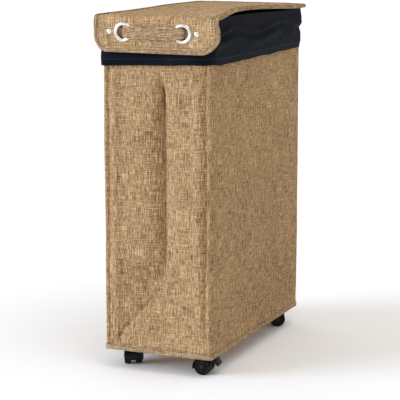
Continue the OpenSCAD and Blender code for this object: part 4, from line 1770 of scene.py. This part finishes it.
@dataclass
class Handle:
    """Grommets, rivets and the strap that is threaded through the flap."""

    palette: Palette
    lid: Lid
    strap_half: float = 11 * MM

    def __post_init__(self) -> None:
        """Reads where the grommets and rivets are."""
        low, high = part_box("grommet_right")
        self.x = (low.x + high.x) / 2
        self.z = (low.z + high.z) / 2
        self.ring_out = (high.x - low.x) / 2 + 0.7 * MM
        self.ring_in = 10.7 * MM
        self.front = self.lid.face

    def build_grommet(self, side: int) -> bpy.types.Object:
        """Makes one grommet: a domed ring with a barrel through the flap.

        Args:
            side: -1 for the left one and 1 for the right one.

        Returns:
            The grommet.
        """
        mid_r, tube_r = (self.ring_out + self.ring_in) / 2, (self.ring_out - self.ring_in) / 2
        centre = Vector((side * self.x, self.front - 0.4 * MM, self.z))
        deselect()
        bpy.ops.mesh.primitive_torus_add(location=centre, rotation=(math.pi / 2, 0, 0), major_radius=mid_r,
                                         minor_radius=tube_r, major_segments=72, minor_segments=24)
        ring = newest("grommet_ring")
        settle(ring)
        for vertex in ring.data.vertices:
            rise = vertex.co.y - centre.y
            vertex.co.y = centre.y + rise * (0.85 if rise < 0 else 0.2)
        deselect()
        depth = self.lid.flap_t + 1.6 * MM
        bpy.ops.mesh.primitive_cylinder_add(vertices=72, radius=self.ring_in + 0.35 * MM, depth=depth,
                                            end_fill_type="NOTHING", rotation=(math.pi / 2, 0, 0),
                                            location=(centre.x, self.front + depth / 2 - 0.9 * MM, centre.z))
        barrel = newest("grommet_barrel")
        settle(barrel)
        thicken(barrel, 0.5 * MM, 0.0)
        grommet = join(f"grommet_{'left' if side < 0 else 'right'}_ring", [ring, barrel])
        face_out(grommet)
        smooth(grommet, 40)
        dress(grommet, self.palette.nickel)
        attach(grommet, "flap")
        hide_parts("grommet_left" if side < 0 else "grommet_right")
        return grommet

    def build_rivets(self) -> bpy.types.Object:
        """Makes the two domed rivets with their shanks."""
        low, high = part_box("rivets")
        radius = (high.z - low.z) / 2
        rise = self.front - low.y
        heads = []
        for side in (-1, 1):
            centre = Vector((side * (high.x - radius), self.front, (low.z + high.z) / 2))
            deselect()
            bpy.ops.mesh.primitive_uv_sphere_add(segments=40, ring_count=20, radius=radius, location=centre)
            head = newest("rivet_head")
            with editing(head):
                bpy.ops.mesh.bisect(plane_co=centre, plane_no=(0, 1, 0), clear_outer=True, use_fill=True)
            settle(head)
            for vertex in head.data.vertices:
                vertex.co.y = centre.y + (vertex.co.y - centre.y) * rise / radius
            deselect()
            span = high.y - self.front
            bpy.ops.mesh.primitive_cylinder_add(vertices=24, radius=1.5 * MM, depth=span,
                                                rotation=(math.pi / 2, 0, 0),
                                                location=(centre.x, self.front + span / 2, centre.z))
            shank = newest("rivet_shank")
            settle(shank)
            heads += [head, shank]
        rivets = join("flap_rivets", heads)
        smooth(rivets, 50)
        dress(rivets, self.palette.nickel)
        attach(rivets, "flap")
        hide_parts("rivets")
        return rivets

    def strap_route(self) -> list[tuple[float, float, float, float]]:
        """The right half of the strap from its middle to its end behind the flap.

        Returns:
            Points as distance from the centre plane, distance in front of the flap's face, the
            strap's half width there, and how far its edges curl back.
        """
        bow, grip = 3.6 * MM, 36 * MM
        neck = self.x + 0.6 * MM
        back = self.lid.flap_t + 1.6 * MM
        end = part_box("handle_strap")[1].x
        route = []
        for k in range(13):
            t = k / 12
            route.append((t * grip, bow + 1.2 * MM - 1.4 * MM * t * t, self.strap_half, 0.0))
        for k in range(1, 9):
            t = k / 8
            angle = t * math.pi / 2
            route.append((grip + (neck - grip) * math.sin(angle) ** 0.85,
                          bow - 0.2 * MM - (bow + 0.6 * MM) * (1 - math.cos(angle)),
                          self.strap_half - 1.6 * MM * ease(t), 1.0 * MM * ease(t)))
        for k in range(1, 5):
            t = k / 4
            route.append((neck + 0.4 * MM * t, -0.8 * MM - (back - 0.8 * MM) * t, 9.3 * MM - 0.8 * MM * t,
                          1.0 * MM * (1 - t)))
        for k in range(1, 9):
            t = k / 8
            route.append((neck + 1.2 * MM + (end - neck - 1.2 * MM) * t, -back, 8 * MM, 0.0))
        return route

    def build_strap(self) -> list[bpy.types.Object]:
        """Makes the strap and its edge stitches."""
        half = self.strap_route()
        route = [(-x, out, w, curl) for x, out, w, curl in reversed(half[1:])] + half
        rows, thick = 12, 2.1 * MM
        lengths = run_lengths(route)

        def normal(i: int) -> Vector:
            """The strap's outward direction in plan at a point of its route."""
            a, b = route[max(i - 1, 0)], route[min(i + 1, len(route) - 1)]
            dx, dy = b[0] - a[0], -(b[1] - a[1])
            size = math.hypot(dx, dy) or 1.0
            return Vector((dy / size, -dx / size, 0.0))

        def place(i: int, j: int) -> Vector:
            """A point of the strap's middle surface."""
            x, out, width, curl = route[i]
            v = 2 * j / rows - 1
            crown = 0.5 * MM * (1 - v * v)
            point = Vector((x, self.front - out, self.z + v * width))
            return point + normal(i) * (crown - curl * v * v)

        strap = cloth_grid("strap_handle", len(route) - 1, rows, place,
                           lambda i, j: (self.strap_half * (2 * j / rows - 1), lengths[i]))
        thicken(strap, thick, 0.0)
        apply_modifier(strap, "BEVEL", width=0.5 * MM, segments=2, limit_method="ANGLE",
                       angle_limit=math.radians(50))
        smooth(strap, 60)
        dress(strap, self.palette.tape)
        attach(strap, "flap")
        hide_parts("handle_strap")
        reach = [i for i, point in enumerate(route) if abs(point[0]) < 46 * MM and point[1] > 0]
        runs = []
        for j in (2, rows - 2):
            runs.append([(place(i, j) + normal(i) * (thick / 2 + 0.05 * MM), normal(i)) for i in reach])
        stitches = Stitching(3.0 * MM, 1.3 * MM, 0.7 * MM).sew("strap_stitches", runs)
        dress(stitches, self.palette.thread)
        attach(stitches, "flap")
        return [strap, stitches]

    def build(self) -> list[bpy.types.Object]:
        """Makes every piece of the handle."""
        return [self.build_grommet(-1), self.build_grommet(1), self.build_rivets(), *self.build_strap()]


# ---------------------------------------------------------------- the casters


@dataclass
class Casters:
    """Hoods, levers, plates and pins with broken edges, and the eight wheels."""

    palette: Palette
    frame: dict
    wheel_width: float = 11.5 * MM
    wheel_off: float = 4.0 * MM  # from the caster's middle plane to the wheel's inner face

    def softened(self, node: str, name: str, width: float, material: bpy.types.Material,
                 body: str) -> bpy.types.Object:
        """Copies a moulded or pressed part and breaks its edges.

        Args:
            node: The CAD node.
            name: The new piece's name.
            width: The edges' rounding.
            material: The finish.
            body: The body it rides on.

        Returns:
            The new piece.
        """
        piece = add_mesh(name, self.frame["nodes"][node].data.copy())
        with editing(piece):
            bpy.ops.mesh.remove_doubles(threshold=2 * WELD)
            bpy.ops.mesh.dissolve_limited(angle_limit=math.radians(1.0))
        apply_modifier(piece, "BEVEL", width=width, segments=2, limit_method="ANGLE",
                       angle_limit=math.radians(35), use_clamp_overlap=True)
        smooth(piece, 35)
        dress(piece, material)
        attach(piece, body)
        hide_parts(node)
        return piece

    def wheel_profile(self, radius: float, width: float) -> list[tuple[float, float]]:
        """Half the wheel's section, from the hub's outer face round the tread to its inner face.

        Args:
            radius: The wheel's radius.
            width: The wheel's width.

        Returns:
            Points as radius and distance from the inner face.
        """
        bore, tread = 2.1 * MM, 2.0 * MM
        # the outer face, with its raised hub and its dish: radius and depth below the face, in millimetres
        dish = [(4.3, 0.6), (5.0, 1.0), (5.4, 1.9), (10.6, 1.9), (11.4, 1.2), (11.9, 0.2), (12.6, 0.0)]
        points = [(bore, width - 0.6 * MM), *((r * MM, width - deep * MM) for r, deep in dish)]

        def shoulder(start: float, middle: float) -> None:
            """Rounds one shoulder of the tread, a quarter turn on from a start in degrees."""
            for k in range(5):
                a = math.radians(start - 90 * k / 4)
                points.append((radius - tread + tread * math.cos(a), middle + tread * math.sin(a)))

        shoulder(90, width - tread)
        points += [(radius, width * 0.55), (radius - 0.25 * MM, width * 0.5), (radius, width * 0.45)]
        shoulder(0, tread)
        recess = [(10.0, 0.0), (9.0, 0.8), (5.0, 0.8), (4.4, 0.0)]
        points += [*((r * MM, deep * MM) for r, deep in recess), (bore, 0.0)]
        return points

    def wheel_seed(self, radius: float, width: float) -> bpy.types.Object:
        """Spins one wheel about Z at the origin with five ribs in its dish.

        Args:
            radius: The wheel's radius.
            width: The wheel's width.

        Returns:
            The wheel, to be copied and then removed.
        """
        profile = self.wheel_profile(radius, width)
        mesh = bpy.data.meshes.new("wheel_seed")
        points = [(r, 0.0, z) for r, z in profile]
        mesh.from_pydata(points, [(i, (i + 1) % len(points)) for i in range(len(points))], [])
        wheel = add_mesh("wheel_seed", mesh)
        with editing(wheel):
            bpy.ops.mesh.spin(steps=64, angle=2 * math.pi, center=(0, 0, 0), axis=(0, 0, 1))
        face_out(wheel)
        parts, ribs, middle = [wheel], 5, 8.2 * MM
        for k in range(ribs):
            angle = 2 * math.pi * k / ribs
            deselect()
            bpy.ops.mesh.primitive_cube_add(
                size=1.0, location=(middle * math.cos(angle), middle * math.sin(angle), width - 1.55 * MM),
                rotation=(0, 0, angle), scale=(6.6 * MM, 1.3 * MM, 1.1 * MM))
            rib = newest("wheel_rib")
            settle(rib)
            apply_modifier(rib, "BEVEL", width=0.3 * MM, segments=2, limit_method="ANGLE")
            parts.append(rib)
        return join("wheel_seed", parts)

    def build_wheels(self) -> list[bpy.types.Object]:
        """Sets a copy of the wheel at each of the eight places."""
        joints = {j["child"]: j for j in self.frame["joints"]}
        low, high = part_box("wheel_fr_a")
        seed = self.wheel_seed((high.z - low.z) / 2, self.wheel_width)
        pieces = []
        for corner in CORNERS:
            for side, letter in ((1, "a"), (-1, "b")):
                node = f"wheel_{corner}_{letter}"
                joint = joints[node]
                hub, axis = Vector(joint["pos_m"]), Vector(joint["axis"]).normalized() * side
                wheel = add_mesh(f"caster_{node}", seed.data.copy())
                turn = axis.to_track_quat("Z", "Y").to_matrix().to_4x4()
                wheel.matrix_world = Matrix.Translation(hub + axis * self.wheel_off) @ turn
                settle(wheel)
                smooth(wheel, 35)
                dress(wheel, self.palette.wheel)
                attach(wheel, node)
                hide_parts(node)
                pieces.append(wheel)
        bpy.data.objects.remove(seed)
        return pieces

    def build(self) -> list[bpy.types.Object]:
        """Makes every caster piece."""
        palette, pieces = self.palette, []
        for corner in CORNERS:
            body = f"caster_{corner}"
            pieces.append(self.softened(f"caster_hood_{corner}", f"hood_{corner}", 0.45 * MM,
                                        palette.plastic, body))
            pieces.append(self.softened(f"caster_plate_{corner}", f"plate_{corner}", 0.35 * MM,
                                        palette.plastic, "shell"))
            pieces.append(self.softened(f"axle_pin_{corner}", f"axle_{corner}", 0.3 * MM,
                                        palette.blackened, body))
        for corner in ("fl", "fr"):
            pieces.append(self.softened(f"brake_lever_{corner}", f"lever_{corner}", 0.5 * MM,
                                        palette.plastic, f"brake_{corner}"))
            pieces.append(self.softened(f"lever_pin_{corner}", f"lever_pin_{corner}_steel", 0.25 * MM,
                                        palette.blackened, f"caster_{corner}"))
        return pieces + self.build_wheels()


# ---------------------------------------------------------------- hidden parts, camera and light


def dress_frame(frame: dict, palette: Palette) -> None:
    """Gives the boards, rods, pins and fasteners that stay as CAD nodes their finishes.

    Args:
        palette: The finishes.
    """
    finishes = {"board": palette.board, "corner_rod": palette.steel, "rim_wire": palette.steel,
                "caster_screws": palette.steel, "caster_nuts": palette.steel, "kingpins": palette.steel,
                "grommet_washers": palette.nickel, "rivet_caps": palette.nickel}
    for name, node in frame["nodes"].items():
        for word, material in finishes.items():
            if word in name:
                dress(node, material)


@dataclass(frozen=True)
class Studio:
    """Camera, floor and soft light; angles are in degrees."""

    camera_at: Triple = (1.15355, -2.67489, 0.81597)
    pitch: float = 79.47
    yaw: float = 23.49
    lens: float = 145.2
    surround: Triple = (1.0, 0.98, 0.95)
    ambient: float = 0.71
    key_colour: Triple = (0.88, 1.0, 1.20)
    key_power: float = 2.5
    key_spread: float = 34.0
    key_towards: Triple = (0.74, 0.60, -0.26)
    top_power: float = 0.62
    top_spread: float = 40.0
    top_towards: Triple = (-0.42, 0.20, -1.0)

    def set_camera(self) -> None:
        """Places the camera at eye height in front and to the right."""
        bpy.ops.object.camera_add(location=self.camera_at,
                                  rotation=(math.radians(self.pitch), 0.0, math.radians(self.yaw)))
        camera = bpy.context.active_object
        camera.data.lens = self.lens
        camera.data.sensor_width = 36.0
        camera.data.clip_end = 50.0
        bpy.context.scene.camera = camera

    def set_floor(self) -> None:
        """Lays a plain pale floor."""
        deselect()
        bpy.ops.mesh.primitive_plane_add(size=40.0, location=(0, 0, 0))
        floor = newest("floor")
        base = Finisher("pale_floor", 0.9, specular=0.1)
        material, _, shader = base.start()
        shader.inputs["Base Color"].default_value = (0.98, 0.98, 0.98, 1.0)
        floor.data.materials.append(material)

    @staticmethod
    def add_sun(name: str, height: float, power: float, spread: float, towards: Triple) -> bpy.types.Object:
        """Adds a soft sun light.

        Args:
            name: The light's name.
            height: Where it hangs above the floor.
            power: Its strength.
            spread: The width of its disc in degrees, which softens its shadows.
            towards: The direction in which it shines.

        Returns:
            The light.
        """
        bpy.ops.object.light_add(type="SUN", location=(0.0, 0.0, height))
        sun = bpy.context.active_object
        sun.name = name
        sun.data.energy = power
        sun.data.angle = math.radians(spread)
        sun.rotation_euler = Vector(towards).to_track_quat("-Z", "Y").to_euler()
        return sun

    def light(self) -> None:
        """Sets a bright, slightly warm surround, a broad cool key from the front left and a top light."""
        world = bpy.data.worlds.new("studio")
        bpy.context.scene.world = world
        world.use_nodes = True
        background = world.node_tree.nodes["Background"]
        background.inputs["Color"].default_value = (*self.surround, 1.0)
        background.inputs["Strength"].default_value = self.ambient
        key = self.add_sun("key_light", 3.0, self.key_power, self.key_spread, self.key_towards)
        key.data.color = self.key_colour
        self.add_sun("top_light", 4.0, self.top_power, self.top_spread, self.top_towards)

    def build(self) -> None:
        """Sets the whole studio."""
        self.set_camera()
        self.set_floor()
        self.light()
        bpy.context.scene.view_settings.view_transform = "Standard"


def main() -> None:
    """Builds the hamper around the frame."""
    logging.basicConfig(level=logging.INFO, format="%(name)s: %(message)s")
    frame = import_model()
    palette = Palette()
    dress_frame(frame, palette)
    shell = Shell(palette)
    lid = Lid(palette)
    Studio().build()
    for maker in (shell, Liner(palette, shell), lid, HingeCloth(palette, lid), Handle(palette, lid),
                  Casters(palette, frame)):
        for piece in maker.build():
            LOG.info("%s: %s, %d faces", type(maker).__name__, piece.name, len(piece.data.polygons))


if __name__ == "__main__":
    main()
